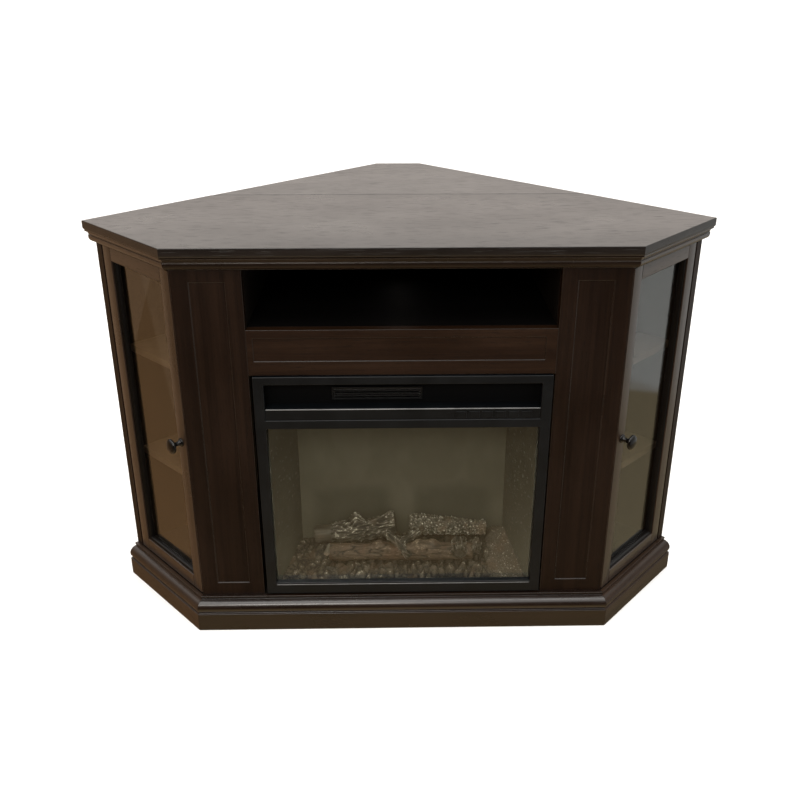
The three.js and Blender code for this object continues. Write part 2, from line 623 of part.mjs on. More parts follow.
const BEZEL_FRONT = CARCASS_FRONT - BEZEL_PROUD;
const BEZEL_BACK = BEZEL_FRONT + BEZEL_DEPTH;
const HALF_WINDOW = BEZEL_WIDTH / 2 - BEZEL_BORDER;
const WINDOW_BOTTOM = INSERT_BOTTOM + BEZEL_SILL;
const SLOT_TOP = BEZEL_TOP - BEZEL_HEAD;
const SLOT_BOTTOM = SLOT_TOP - SLOT_HEIGHT;
const STRIP_BOTTOM = SLOT_BOTTOM - STRIP_HEIGHT;
const WINDOW_TOP = STRIP_BOTTOM - BEZEL_BAR;
const SLOT_WALL = BEZEL_FRONT + SLOT_DEPTH;
const PANE_FRONT = BEZEL_BACK + CLEARANCE;
const CASE_FRONT = PANE_FRONT + PANE_THICKNESS + CLEARANCE;
const LINER_FRONT = CASE_FRONT + 1;
const HEARTH_BACK = LINER_FRONT + HEARTH.depth;
const CASE_BACK = HEARTH_BACK + ROTOR_SPACE;
const CASE_TOP = BEZEL_TOP - CASE_DROP;
const HALF_CASE = BEZEL_WIDTH / 2 - CASE_MARGIN;
const HEARTH_ROOF = WINDOW_TOP + ROOF_RISE;
const LINER_Z = [INSERT_BOTTOM + SHEET + CLEARANCE, HEARTH_ROOF - SHEET - CLEARANCE];
const HEARTH_FRONT_HALF = HALF_WINDOW - HEARTH.frontMargin;
const HEARTH_BACK_HALF = HALF_WINDOW - HEARTH.backMargin;
const GRILLE_Z = [SLOT_BOTTOM + GRILLE.rise, SLOT_TOP - GRILLE.drop];
const BRACKET_X = HALF_CASE - BRACKET.inset;
const SCREEN_BACK = HEARTH_BACK + CLEARANCE + SCREEN_THICKNESS;
const ROTOR_AT = [(SCREEN_BACK + CASE_BACK - SHEET) / 2, INSERT_BOTTOM + ROTOR.rise];
const DUCT_X = [GRILLE.left + DUCT.side, GRILLE.right - DUCT.side];
const DUCT_Z = [SLOT_BOTTOM + DUCT.floor, SLOT_TOP - DUCT.drop];
const DUCT_FRONT = SLOT_WALL + SHEET + CLEARANCE;
const DUCT_BACK = DUCT_FRONT + DUCT.depth;
const BLOWER_AT = [DUCT_BACK - BLOWER.back, (DUCT_Z[0] + DUCT_Z[1]) / 2];
const BLOWER_RADIUS = (DUCT_Z[1] - DUCT_Z[0]) / 2 - DUCT.wall - BLOWER.play;

function addBezel() {
  const shape = rectangle([-BEZEL_WIDTH / 2, BEZEL_WIDTH / 2], [INSERT_BOTTOM, BEZEL_TOP]);
  shape.holes.push(rectangle([-HALF_WINDOW, HALF_WINDOW], [WINDOW_BOTTOM, WINDOW_TOP]));
  shape.holes.push(rectangle([-HALF_WINDOW, HALF_WINDOW], [STRIP_BOTTOM, SLOT_TOP]));
  addPiece(insert, 'firebox_bezel', 'blackMetal', frontPrism(shape, [BEZEL_FRONT, BEZEL_BACK]));
  const paneX = [-HALF_WINDOW - PANE_LAP, HALF_WINDOW + PANE_LAP];
  const paneZ = [WINDOW_BOTTOM - PANE_LAP, WINDOW_TOP + PANE_LAP];
  addPiece(insert, 'firebox_glass', 'smokedGlass',
    block(paneX, [PANE_FRONT, PANE_FRONT + PANE_THICKNESS], paneZ));
}

// The case is open to the front. One sheet makes its roof over the hearth, and another the wall
// behind the warm air slot, so the blower has a space of its own behind that wall.
function caseShell() {
  const outer = block([-HALF_CASE, HALF_CASE], [CASE_FRONT, CASE_BACK], [INSERT_BOTTOM, CASE_TOP]);
  const inside = [-HALF_CASE + SHEET, HALF_CASE - SHEET];
  const hearthZ = [INSERT_BOTTOM + SHEET, HEARTH_ROOF - SHEET];
  const upperZ = [HEARTH_ROOF, CASE_TOP - SHEET];
  const hearth = block(inside, [CASE_FRONT - 1, CASE_BACK - SHEET], hearthZ);
  const slot = block(inside, [CASE_FRONT - 1, SLOT_WALL], upperZ);
  const blowerSpace = block(inside, [SLOT_WALL + SHEET, CASE_BACK - SHEET], upperZ);
  const outlet = block([GRILLE.left + 2, GRILLE.right - 2], [SLOT_WALL - 1, SLOT_WALL + SHEET + 1],
    [GRILLE_Z[0] + 2, GRILLE_Z[1] - 2]);
  return cut(outer, hearth, slot, blowerSpace, outlet);
}

function rotorBracket(side) {
  const at = side * BRACKET_X;
  const plate = block(outwards(side, BRACKET_X, BRACKET_X + SHEET),
    [ROTOR_AT[0] - BRACKET.half, ROTOR_AT[0] + BRACKET.half],
    [INSERT_BOTTOM + SHEET / 2, ROTOR_AT[1] + BRACKET.rise]);
  return cut(plate, axle(ROTOR.rod + CLEARANCE, [at - 5, at + 5], ROTOR_AT, 12));
}

function addCase() {
  const inlet = [HALF_CASE - CORD_INLET.inset, INSERT_BOTTOM + CORD_INLET.rise];
  const inletBack = CASE_BACK + CORD_INLET.stand;
  const collar = stud(CORD_INLET.radius, inlet, [CASE_BACK - SHEET / 2, inletBack], 16);
  const cordHole = stud(CORD_INLET.bore, inlet, [CASE_BACK - 5, inletBack + 1], 12);
  const runnerOuter = HALF_CASE - RUNNER.inset;
  const runner = (side) => block(outwards(side, runnerOuter - RUNNER.width, runnerOuter),
    [CASE_FRONT + RUNNER.end, CASE_BACK - RUNNER.end], [BASE_HEIGHT, INSERT_BOTTOM + SHEET]);
  const ends = [-1, 1];
  const whole = join(caseShell(), collar, ...ends.map(runner), ...ends.map(rotorBracket));
  addPiece(insert, 'firebox_case', 'sheetMetal', cut(whole, cordHole));
}

function addControls() {
  const front = BEZEL_FRONT + STRIP_SETBACK;
  const stripBack = front + STRIP_THICKNESS;
  const stripX = [-HALF_WINDOW + CLEARANCE, HALF_WINDOW - CLEARANCE];
  const ledgeBottom = SLOT_BOTTOM - LEDGE;
  const strip = block(stripX, [front, stripBack], [STRIP_BOTTOM + CLEARANCE, SLOT_BOTTOM]);
  const ledge = block(stripX, [front, SLOT_WALL - CLEARANCE], [ledgeBottom, SLOT_BOTTOM]);
  const capFront = front - BUTTON.proud;
  const capBack = capFront + BUTTON_LENGTH;
  const capZ = [STRIP_BOTTOM + BUTTON.margin, ledgeBottom - BUTTON.margin];
  const switchFront = capBack + BUTTON.travel + SWITCH.spare;
  const boardFront = switchFront + SWITCH.height;
  const middle = (capZ[0] + capZ[1]) / 2;
  const first = HALF_WINDOW - BUTTON.last - (BUTTON.count - 1) * BUTTON.pitch;
  const grown = ([low, high], by) => [low - by, high + by];
  const holes = [];
  const switches = [];
  for (let i = 0; i < BUTTON.count; i += 1) {
    const x = first + i * BUTTON.pitch;
    const capX = [x - BUTTON.width / 2, x + BUTTON.width / 2];
    holes.push(block(grown(capX, CLEARANCE), [front - 1, stripBack + 1], grown(capZ, CLEARANCE)));
    const cap = block(capX, [capFront, capBack], capZ);
    const flange = block(grown(capX, BUTTON_FLANGE), [stripBack + CLEARANCE, capBack],
      grown(capZ, BUTTON_FLANGE));
    addPiece(insert, `button_${i + 1}`, 'blackPlastic', join(cap, flange));
    switches.push(block([x - SWITCH.half, x + SWITCH.half], [switchFront, boardFront],
      [middle - SWITCH.half, middle + SWITCH.half]));
  }
  addPiece(insert, 'control_panel', 'blackPlastic', cut(join(strip, ledge), ...holes));
  const boardX = [first - BUTTON.width / 2 - CIRCUIT.left, HALF_WINDOW - BUTTON.last + CIRCUIT.right];
  const board = block(boardX, [boardFront, boardFront + CIRCUIT.thickness],
    [STRIP_BOTTOM + CIRCUIT.margin, ledgeBottom - CLEARANCE]);
  addPiece(insert, 'control_board', 'circuit', join(board, ...switches));
}

function addGrille() {
  const shape = rectangle([GRILLE.left, GRILLE.right], GRILLE_Z);
  const clear = GRILLE_Z[1] - GRILLE_Z[0] - 2 * GRILLE.frame;
  const gap = (clear - (GRILLE.bars - 1) * GRILLE.bar) / GRILLE.bars;
  const gapX = [GRILLE.left + GRILLE.frame, GRILLE.right - GRILLE.frame];
  for (let i = 0; i < GRILLE.bars; i += 1) {
    const bottom = GRILLE_Z[0] + GRILLE.frame + i * (gap + GRILLE.bar);
    shape.holes.push(rectangle(gapX, [bottom, bottom + gap]));
  }
  const back = SLOT_WALL - CLEARANCE;
  addPiece(insert, 'outlet_grille', 'blackMetal', frontPrism(shape, [back - GRILLE.thickness, back]));
}

// ---------------------------------------------------------------- hearth
// Plan of the hearth, narrower at the back
function hearthPlan(grow, front, back) {
  return [
    [-HEARTH_FRONT_HALF - grow, front], [HEARTH_FRONT_HALF + grow, front],
    [HEARTH_BACK_HALF + grow, back], [-HEARTH_BACK_HALF - grow, back],
  ];
}

// Two side walls and a roof, open to the front, to the back and below
function addLiner() {
  const walls = planPrism(hearthPlan(HEARTH.liner, LINER_FRONT, HEARTH_BACK), LINER_Z);
  const hollow = planPrism(hearthPlan(0, LINER_FRONT - 0.01, HEARTH_BACK + 0.01),
    [LINER_Z[0] - 1, LINER_Z[1] - HEARTH.liner]);
  addPiece(insert, 'hearth_liner', 'brick', cut(walls, hollow));
  const screenHalf = HEARTH_BACK_HALF + HEARTH.liner + 2;
  addPiece(insert, 'flame_screen', 'screen',
    block([-screenHalf, screenHalf], [HEARTH_BACK + CLEARANCE, SCREEN_BACK], LINER_Z));
}

// A log from one end to the other, with a radius for each end
function log(start, end, startRadius, endRadius) {
  const from = new THREE.Vector3(...start);
  const to = new THREE.Vector3(...end);
  const axis = to.clone().sub(from);
  const shape = new THREE.CylinderGeometry(endRadius, startRadius, axis.length(), 10, 1);
  const upright = new THREE.Vector3(0, 1, 0);
  const turn = new THREE.Quaternion().setFromUnitVectors(upright, axis.clone().normalize());
  return shape.applyQuaternion(turn).translate(...from.add(to).multiplyScalar(0.5).toArray());
}

// The ember bed rises in two steps, and the front log is moulded in one with it
function addBed() {
  const taper = (HEARTH_FRONT_HALF - HEARTH_BACK_HALF) / HEARTH.depth;
  const halfAt = (y) => HEARTH_FRONT_HALF - (y - LINER_FRONT) * taper - BED.gap;
  const front = LINER_FRONT + BED.front;
  const back = HEARTH_BACK - BED.gap;
  const step = LINER_FRONT + BED.step;
  const rearStep = HEARTH_BACK - BED.rearStep;
  const bottom = LINER_Z[0];
  const frontTop = INSERT_BOTTOM + BED.frontTop;
  const rearTop = INSERT_BOTTOM + BED.rearTop;
  const plan = [
    [-halfAt(front), front], [halfAt(front), front],
    [halfAt(back), back], [-halfAt(back), back],
  ];
  const profile = outline([
    [front, bottom], [back, bottom], [back, rearTop], [rearStep + BED.rise, rearTop],
    [rearStep, frontTop], [step, frontTop], [front, INSERT_BOTTOM + BED.lip],
  ]);
  const bed = common(planPrism(plan, [bottom, rearTop + 1]), sidePrism(profile, [-HALF_WIDTH, HALF_WIDTH]));
  const logHeight = frontTop + FRONT_LOG.radius - FRONT_LOG.sunk;
  const logBack = rearStep - FRONT_LOG.forward;
  const frontLog = log([-HEARTH_BACK_HALF + FRONT_LOG.left, logBack, logHeight],
    [HEARTH_BACK_HALF - FRONT_LOG.right, logBack, logHeight], FRONT_LOG.radius, FRONT_LOG.radius - 1);
  addPiece(insert, 'ember_bed', 'ember', join(bed, frontLog));
}

// Two logs lie on the bed's upper step, each with its lower end out near a side wall
function addLogs() {
  for (const [name, side] of sides) {
    const { inset, high, forward, lift, radius } = LOGS[name];
    const y = HEARTH_BACK - forward;
    const z = INSERT_BOTTOM + BED.rearTop + radius + CLEARANCE;
    const lowX = side * (HEARTH_BACK_HALF - inset);
    addPiece(insert, `log_${name}`, 'log',
      log([lowX, y, z], [high, y, z + lift], radius, radius + LOG_FLARE));
  }
}

// ---------------------------------------------------------------- blower, rotor and their motors
function addBlower() {
  const bladeX = [GRILLE.left + BLOWER.left, GRILLE.right - BLOWER.right];
  const shaftX = [DUCT_X[0] - BLOWER.rim, DUCT_X[1] + CLEARANCE + BLOWER_MOTOR.shaft];
  const shaft = axle(BLOWER.shaft, shaftX, BLOWER_AT, 12);
  const rim = (x) => axle(BLOWER_RADIUS, [x, x + BLOWER.rim], BLOWER_AT, 16);
  const blades = [];
  for (let i = 0; i < BLOWER.blades; i += 1) {
    const blade = block([bladeX[0] + 1, bladeX[1] - 1],
      [BLOWER_RADIUS - 1 - BLOWER.web, BLOWER_RADIUS - 1], [-0.6, 0.6]);
    blades.push(blade.rotateX((2 * Math.PI * i) / BLOWER.blades).translate(0, ...BLOWER_AT));
  }
  addPiece(insert, 'blower_wheel', 'blackPlastic',
    join(shaft, rim(bladeX[0]), rim(bladeX[1] - BLOWER.rim), ...blades));
}

// The duct holds the heater bars and stands on the hearth's roof
function addDuct() {
  const inside = ([low, high], by) => [low + by, high - by];
  const outer = block(DUCT_X, [DUCT_FRONT, DUCT_BACK], DUCT_Z);
  const hollow = block(inside(DUCT_X, DUCT.wall), [SLOT_WALL, DUCT_BACK + 1], inside(DUCT_Z, DUCT.wall));
  const bore = axle(BLOWER.shaft + CLEARANCE, inside(DUCT_X, -5), BLOWER_AT, 12);
  const pieces = [];
  for (let i = 0; i < HEATER.bars; i += 1) {
    const bottom = DUCT_Z[0] + HEATER.rise + i * HEATER.pitch;
    pieces.push(block(inside(DUCT_X, 1), [SLOT_WALL + HEATER.front, SLOT_WALL + HEATER.back],
      [bottom, bottom + HEATER.height]));
  }
  for (const x of [DUCT_X[0], DUCT_X[1] - FOOT.width]) {
    pieces.push(block([x, x + FOOT.width], [DUCT_BACK - FOOT.front, DUCT_BACK - FOOT.back],
      [HEARTH_ROOF + CLEARANCE, DUCT_Z[0] + 1]));
  }
  addPiece(insert, 'heater_duct', 'sheetMetal', join(cut(outer, hollow, bore), ...pieces));
}

function addRotor() {
  const motorX = BRACKET_X + SHEET + CLEARANCE;
  const rodX = [-BRACKET_X - SHEET - 4, motorX + ROTOR_MOTOR.shaft];
  const reach = BRACKET_X - ROTOR.margin;
  const blades = [];
  for (let i = 0; i < ROTOR.rings; i += 1) {
    const x = -reach + (i * 2 * reach) / (ROTOR.rings - 1);
    const blade = block([x - ROTOR.bladeWidth / 2, x + ROTOR.bladeWidth / 2],
      [-ROTOR.blade, ROTOR.blade], [-0.5, 0.5]);
    blades.push(blade.rotateX((i * Math.PI) / ROTOR.phases).translate(0, ...ROTOR_AT));
  }
  addPiece(insert, 'flame_rotor', 'steel', join(axle(ROTOR.rod, rodX, ROTOR_AT, 12), ...blades));
  addMotor('rotor_motor', motorX, ROTOR_MOTOR, ROTOR_AT, ROTOR.rod);
}

function addMotor(name, x, { length, shaft, radius }, at, shaftRadius) {
  const can = axle(radius, [x, x + length], at, 16);
  const hole = axle(shaftRadius + CLEARANCE, [x - 1, x + shaft + SHAFT_END], at, 12);
  addPiece(insert, name, 'steel', cut(can, hole));
}

addTop();
addLeafHinge();
addMoulding('crown', crownProfile());
addMoulding('base', baseProfile());
addPilasters();
addRail();
addHeaders();
addPanels();
addBack();
addShelves();
addBase();
for (const [name, side] of sides) {
  addDoor(name, side);
  addPivots(name, side);
}
addBezel();
addCase();
addControls();
addGrille();
addLiner();
addBed();
addLogs();
addBlower();
addDuct();
addMotor('blower_motor', DUCT_X[1] + CLEARANCE, BLOWER_MOTOR, BLOWER_AT, BLOWER.shaft);
addRotor();

cabinet.position.set(0, -DEPTH / 2, 0);
const root = new THREE.Group();
root.add(cabinet);
export default root;
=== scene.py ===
"""Looks of a corner cabinet with an electric fireplace insert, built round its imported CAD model."""
import math

import bmesh
import bpy
from mathutils import Matrix, Vector, noise


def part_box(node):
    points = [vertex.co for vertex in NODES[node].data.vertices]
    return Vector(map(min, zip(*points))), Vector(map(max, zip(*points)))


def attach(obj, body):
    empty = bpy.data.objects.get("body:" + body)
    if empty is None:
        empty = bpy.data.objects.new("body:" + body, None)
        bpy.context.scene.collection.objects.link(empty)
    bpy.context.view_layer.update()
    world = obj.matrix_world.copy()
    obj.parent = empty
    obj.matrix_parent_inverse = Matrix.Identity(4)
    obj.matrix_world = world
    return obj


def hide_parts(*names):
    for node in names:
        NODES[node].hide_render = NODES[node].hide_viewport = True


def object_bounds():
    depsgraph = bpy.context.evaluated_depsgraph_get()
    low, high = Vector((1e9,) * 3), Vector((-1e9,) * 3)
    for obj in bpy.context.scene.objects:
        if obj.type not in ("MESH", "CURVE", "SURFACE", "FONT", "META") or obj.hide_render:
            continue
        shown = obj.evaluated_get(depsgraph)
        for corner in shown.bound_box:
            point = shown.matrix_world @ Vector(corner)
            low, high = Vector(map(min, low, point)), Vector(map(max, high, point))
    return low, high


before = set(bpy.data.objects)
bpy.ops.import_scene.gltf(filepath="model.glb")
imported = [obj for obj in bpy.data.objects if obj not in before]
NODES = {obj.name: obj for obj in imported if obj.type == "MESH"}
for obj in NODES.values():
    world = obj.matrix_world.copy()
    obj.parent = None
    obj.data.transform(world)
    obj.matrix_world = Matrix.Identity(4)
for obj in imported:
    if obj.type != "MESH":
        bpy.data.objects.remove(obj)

CAD_BOX = [list(corner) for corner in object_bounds()]
MM = 0.001
ROOT2 = math.sqrt(2)
SIDES = (("left", -1), ("right", 1))

# ---------------------------------------------------------------- places read from the frame
CORNER_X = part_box("pilaster_right")[1].x
FRONT_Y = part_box("pilaster_right")[0].y
FLOOR_Z = CAD_BOX[0][2]


def side_place(side, along, depth, height):
    """A point of a 45 degree side: along the door from the corner, into the cabinet, up."""
    x = side * (CORNER_X + (along - depth) / ROOT2)
    return Vector((x, FRONT_Y + (along + depth) / ROOT2, height))


def side_spans(node):
    """Where a CAD node of the right side lies along it, how deep it reaches, and where it lies up."""
    low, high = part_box(node)
    along = ((low.y - FRONT_Y) * ROOT2, (high.x - CORNER_X) * ROOT2)
    back = (high.y - FRONT_Y) * ROOT2 - along[1]
    return along, back, (low.z, high.z)


# ---------------------------------------------------------------- camera
FOCAL_PIXELS = 842.9
CENTRE_PIXEL = (403.6, 327.1)
PHOTO_SIZE = 800
SENSOR = 36.0
CAMERA_PLACE = (-0.022, -1.7575, 1.230)
CAMERA_PITCH = 21.93
CAMERA_YAW = -0.98


def add_camera():
    camera = bpy.data.cameras.new("camera")
    camera.sensor_width = SENSOR
    camera.lens = FOCAL_PIXELS * SENSOR / PHOTO_SIZE
    camera.shift_x = (PHOTO_SIZE / 2 - CENTRE_PIXEL[0]) / PHOTO_SIZE
    camera.shift_y = (CENTRE_PIXEL[1] - PHOTO_SIZE / 2) / PHOTO_SIZE
    camera.clip_end = 1000
    holder = bpy.data.objects.new("camera", camera)
    holder.location = CAMERA_PLACE
    holder.rotation_euler = (math.radians(90 - CAMERA_PITCH), 0, math.radians(CAMERA_YAW))
    bpy.context.scene.collection.objects.link(holder)
    bpy.context.scene.camera = holder


# ---------------------------------------------------------------- node helpers
def new_material(name):
    material = bpy.data.materials.new(name)
    material.use_nodes = True
    tree = material.node_tree
    tree.nodes.clear()
    output = tree.nodes.new("ShaderNodeOutputMaterial")
    shader = tree.nodes.new("ShaderNodeBsdfPrincipled")
    tree.links.new(shader.outputs["BSDF"], output.inputs["Surface"])
    return material, tree, shader


def add_node(tree, kind, inputs=None, **settings):
    node = tree.nodes.new(kind)
    for key, value in settings.items():
        setattr(node, key, value)
    for key, value in (inputs or {}).items():
        if isinstance(value, bpy.types.NodeSocket):
            tree.links.new(value, node.inputs[key])
        else:
            node.inputs[key].default_value = value
    return node


def coordinates(tree, size, rotation=(0, 0, 0)):
    """Object coordinates in a turned frame, divided by the size of a feature along each axis."""
    texture = add_node(tree, "ShaderNodeTexCoord")
    turn = [math.radians(a) for a in rotation]
    return add_node(tree, "ShaderNodeMapping", {
        "Vector": texture.outputs["Object"], "Rotation": turn, "Scale": size,
    }, vector_type="TEXTURE").outputs["Vector"]


def noise_value(tree, vector, detail=3.0, roughness=0.5, distortion=0.0, scale=1.0):
    return add_node(tree, "ShaderNodeTexNoise", {
        "Vector": vector, "Scale": scale, "Detail": detail,
        "Roughness": roughness, "Distortion": distortion,
    }).outputs["Fac"]


def ramp(tree, value, low, high, out_low=0.0, out_high=1.0):
    """Maps a value between two limits onto two others, with soft ends."""
    return add_node(tree, "ShaderNodeMapRange", {
        "Value": value, "From Min": low, "From Max": high,
        "To Min": out_low, "To Max": out_high,
    }, interpolation_type="SMOOTHSTEP").outputs["Result"]


def mix_colour(tree, factor, first, second, blend="MIX"):
    mix = add_node(tree, "ShaderNodeMix", data_type="RGBA", blend_type=blend)
    for socket, value in ((mix.inputs[0], factor), (mix.inputs[6], first), (mix.inputs[7], second)):
        if isinstance(value, bpy.types.NodeSocket):
            tree.links.new(value, socket)
        elif isinstance(value, (int, float)):
            socket.default_value = value
        else:
            socket.default_value = (*value, 1)
    return mix.outputs[2]


def maths(tree, operation, first, second=0.0):
    node = add_node(tree, "ShaderNodeMath", operation=operation)
    for socket, value in ((node.inputs[0], first), (node.inputs[1], second)):
        if isinstance(value, bpy.types.NodeSocket):
            tree.links.new(value, socket)
        else:
            socket.default_value = value
    return node.outputs[0]


def bump(tree, shader, height, strength, distance):
    node = add_node(tree, "ShaderNodeBump", {
        "Height": height, "Strength": strength, "Distance": distance,
    })
    tree.links.new(node.outputs["Normal"], shader.inputs["Normal"])


# ---------------------------------------------------------------- materials
GRAIN_TURNS = {"x": (0, 0, 0), "z": (0, -90, 0), "right": (0, 0, 45), "left": (0, 0, -45)}


def wood(name, direction, dark, light, roughness, pore_depth=0.5, coat=0.0, gloss=0.5,
         pore_size=(0.022, 0.0009)):
    """Stained wood. Pores, fibres and slow bands all run along the direction."""
    material, tree, shader = new_material(name)
    turn = GRAIN_TURNS[direction]
    fibre = noise_value(tree, coordinates(tree, (0.16, 0.0022, 0.0022), turn), 4.0, 0.6)
    band = noise_value(tree, coordinates(tree, (0.9, 0.022, 0.022), turn), 3.0, 0.6, 0.6)
    cloud = noise_value(tree, coordinates(tree, (0.22, 0.12, 0.12), turn), 3.0, 0.55)
    long, fine = pore_size
    pore = noise_value(tree, coordinates(tree, (long, fine, fine), turn), 1.0, 0.5)
    pores = ramp(tree, pore, 0.62, 0.72)
    tone = maths(tree, "ADD", maths(tree, "MULTIPLY", fibre, 0.45), maths(tree, "MULTIPLY", band, 0.55))
    colour = mix_colour(tree, ramp(tree, tone, 0.32, 0.68), dark, light)
    shade = ramp(tree, cloud, 0.3, 0.7, 0.82, 1.12)
    grey = add_node(tree, "ShaderNodeCombineColor", {"Red": shade, "Green": shade, "Blue": shade})
    shaded = mix_colour(tree, 1.0, colour, grey.outputs[0], "MULTIPLY")
    pore_tone = tuple(c * 0.35 for c in dark)
    tree.links.new(mix_colour(tree, maths(tree, "MULTIPLY", pores, 0.75), shaded, pore_tone),
                   shader.inputs["Base Color"])
    rough = maths(tree, "ADD", maths(tree, "MULTIPLY", pores, 0.25),
                  ramp(tree, cloud, 0.25, 0.75, roughness - 0.04, roughness + 0.05))
    tree.links.new(rough, shader.inputs["Roughness"])
    height = maths(tree, "SUBTRACT", maths(tree, "MULTIPLY", fibre, 0.35), pores)
    bump(tree, shader, height, pore_depth, 0.0002)
    shader.inputs["Specular IOR Level"].default_value = gloss
    shader.inputs["Coat Weight"].default_value = coat
    shader.inputs["Coat Roughness"].default_value = 0.18
    return material


def painted(name, colour, roughness, grain=0.0006, variation=0.15, metallic=0.0, depth=0.15, gloss=0.5):
    """Paint, powder coat or moulded plastic: a fine even texture with slow wear."""
    material, tree, shader = new_material(name)
    fine = noise_value(tree, coordinates(tree, (grain, grain, grain)), 2.0, 0.6)
    slow = noise_value(tree, coordinates(tree, (0.06, 0.06, 0.06)), 3.0, 0.55)
    dark = tuple(c * (1 - variation) for c in colour)
    light = tuple(c * (1 + variation) for c in colour)
    tree.links.new(mix_colour(tree, ramp(tree, slow, 0.3, 0.7), dark, light),
                   shader.inputs["Base Color"])
    tree.links.new(maths(tree, "ADD", maths(tree, "MULTIPLY", fine, 0.12),
                         ramp(tree, slow, 0.3, 0.7, roughness - 0.1, roughness)),
                   shader.inputs["Roughness"])
    shader.inputs["Metallic"].default_value = metallic
    shader.inputs["Specular IOR Level"].default_value = gloss
    bump(tree, shader, fine, depth, 0.0001)
    return material


def clear_glass(name, tint, roughness=0.0):
    """A pane that mirrors and shows what is behind it, and lets the lamps' light through."""
    material, tree, shader = new_material(name)
    slow = noise_value(tree, coordinates(tree, (0.09, 0.09, 0.09)), 2.0, 0.5)
    tree.links.new(mix_colour(tree, slow, tuple(c * 0.97 for c in tint), tint),
                   shader.inputs["Base Color"])
    shader.inputs["Roughness"].default_value = roughness
    shader.inputs["Transmission Weight"].default_value = 1.0
    shader.inputs["IOR"].default_value = 1.5
    clear = add_node(tree, "ShaderNodeBsdfTransparent", {"Color": (*tint, 1)})
    path = add_node(tree, "ShaderNodeLightPath")
    mix = add_node(tree, "ShaderNodeMixShader", {
        0: path.outputs["Is Shadow Ray"], 1: shader.outputs[0], 2: clear.outputs[0],
    })
    output = next(n for n in tree.nodes if n.type == "OUTPUT_MATERIAL")
    tree.links.new(mix.outputs[0], output.inputs["Surface"])
    return material


# Dark and light tones of each wood, as linear red, green and blue.
DARK = (0.0064, 0.0026, 0.0012)
LIGHT = (0.0135, 0.0060, 0.0027)
RAIL_DARK = (0.0105, 0.0044, 0.0020)
RAIL_LIGHT = (0.0200, 0.0092, 0.0042)
# Door frames and the side runs of crown and base take a lighter copy of the front wood: painted sheen on
# the parts that face the sides.
SIDE_SHEEN_DARK = (0.0170, 0.0090, 0.0050)
SIDE_SHEEN_LIGHT = (0.0300, 0.0165, 0.0094)
TOP_DARK = (0.0056, 0.0036, 0.0028)
TOP_LIGHT = (0.0115, 0.0078, 0.0060)
INNER_DARK = (0.0050, 0.0034, 0.0024)
INNER_LIGHT = (0.0090, 0.0060, 0.0042)
# Colours for the rounded edges, lighter than the faces: partly rubbed wear, partly painted sheen along the
# edges.
EDGE_WEAR_SHEEN_DARK = (0.0300, 0.0220, 0.0165)
EDGE_WEAR_SHEEN_LIGHT = (0.0520, 0.0400, 0.0310)
RUBBED_SHEEN_DARK = (0.0085, 0.0048, 0.0030)
RUBBED_SHEEN_LIGHT = (0.0160, 0.0098, 0.0066)
SHELF_DARK = (0.0500, 0.0300, 0.0170)
SHELF_LIGHT = (0.0820, 0.0500, 0.0285)


def resin(name, crease, face, edge, roughness=0.62):
    """Moulded resin, darker in its creases and lighter on its ridges: partly its dry-brushed paint, partly
    painted shade in the creases and painted highlight on the ridges.
    """
    material, tree, shader = new_material(name)
    relief = add_node(tree, "ShaderNodeAttribute", attribute_name="relief").outputs["Fac"]
    fine = noise_value(tree, coordinates(tree, (0.0025, 0.0025, 0.0025)), 3.0, 0.65)
    blotch = noise_value(tree, coordinates(tree, (0.035, 0.035, 0.035)), 2.0, 0.5)
    body = mix_colour(tree, ramp(tree, relief, 0.15, 0.62), crease, face)
    brushed_highlight = maths(tree, "MULTIPLY", ramp(tree, relief, 0.60, 0.84), ramp(tree, fine, 0.42, 0.62))
    colour = mix_colour(tree, brushed_highlight, body, edge)
    warm = tuple(c * k for c, k in zip(face, (1.25, 0.95, 0.80)))
    tinted = mix_colour(tree, maths(tree, "MULTIPLY", ramp(tree, blotch, 0.5, 0.68), 0.5), colour, warm)
    tree.links.new(tinted, shader.inputs["Base Color"])
    shader.inputs["Roughness"].default_value = roughness
    bump(tree, shader, fine, 0.6, 0.0008)
    return material


ZINC_DARK = (0.24, 0.24, 0.23)
ZINC_LIGHT = (0.34, 0.34, 0.33)
SLOT_BLACK = (0.0009, 0.0010, 0.0012)
PAINT_FADE = 1 * MM


def case_steel(name, wall):
    """Zinc sheet, painted black in front of a wall that stands at a given y."""
    material, tree, shader = new_material(name)
    texture = add_node(tree, "ShaderNodeTexCoord")
    place = add_node(tree, "ShaderNodeSeparateXYZ", {0: texture.outputs["Object"]}).outputs["Y"]
    painted_front = ramp(tree, place, wall, wall + PAINT_FADE, 1.0, 0.0)
    slow = noise_value(tree, coordinates(tree, (0.05, 0.05, 0.05)), 3.0, 0.55)
    zinc = mix_colour(tree, slow, ZINC_DARK, ZINC_LIGHT)
    tree.links.new(mix_colour(tree, painted_front, zinc, SLOT_BLACK), shader.inputs["Base Color"])
    tree.links.new(maths(tree, "SUBTRACT", 1.0, painted_front), shader.inputs["Metallic"])
    tree.links.new(ramp(tree, painted_front, 0.0, 1.0, 0.42, 0.7), shader.inputs["Roughness"])
    shader.inputs["Specular IOR Level"].default_value = 0.1
    fine = noise_value(tree, coordinates(tree, (0.0008, 0.0008, 0.0008)), 2.0, 0.6)
    bump(tree, shader, fine, 0.1, 0.0001)
    return material


SCREEN_DARK = (0.112, 0.103, 0.082)
SCREEN_LIGHT = (0.130, 0.120, 0.097)
# The painted shadow of the logs on the screen: its tone, its reach across, its fade and its ragged top.
LOG_SHADOW_TONE = (0.034, 0.034, 0.027)
LOG_SHADOW_INNER = (12 * MM, 45 * MM)
LOG_SHADOW_OUTER = (205 * MM, 165 * MM)
LOG_SHADOW_FADE = 45 * MM
LOG_SHADOW_WAVE = 50 * MM


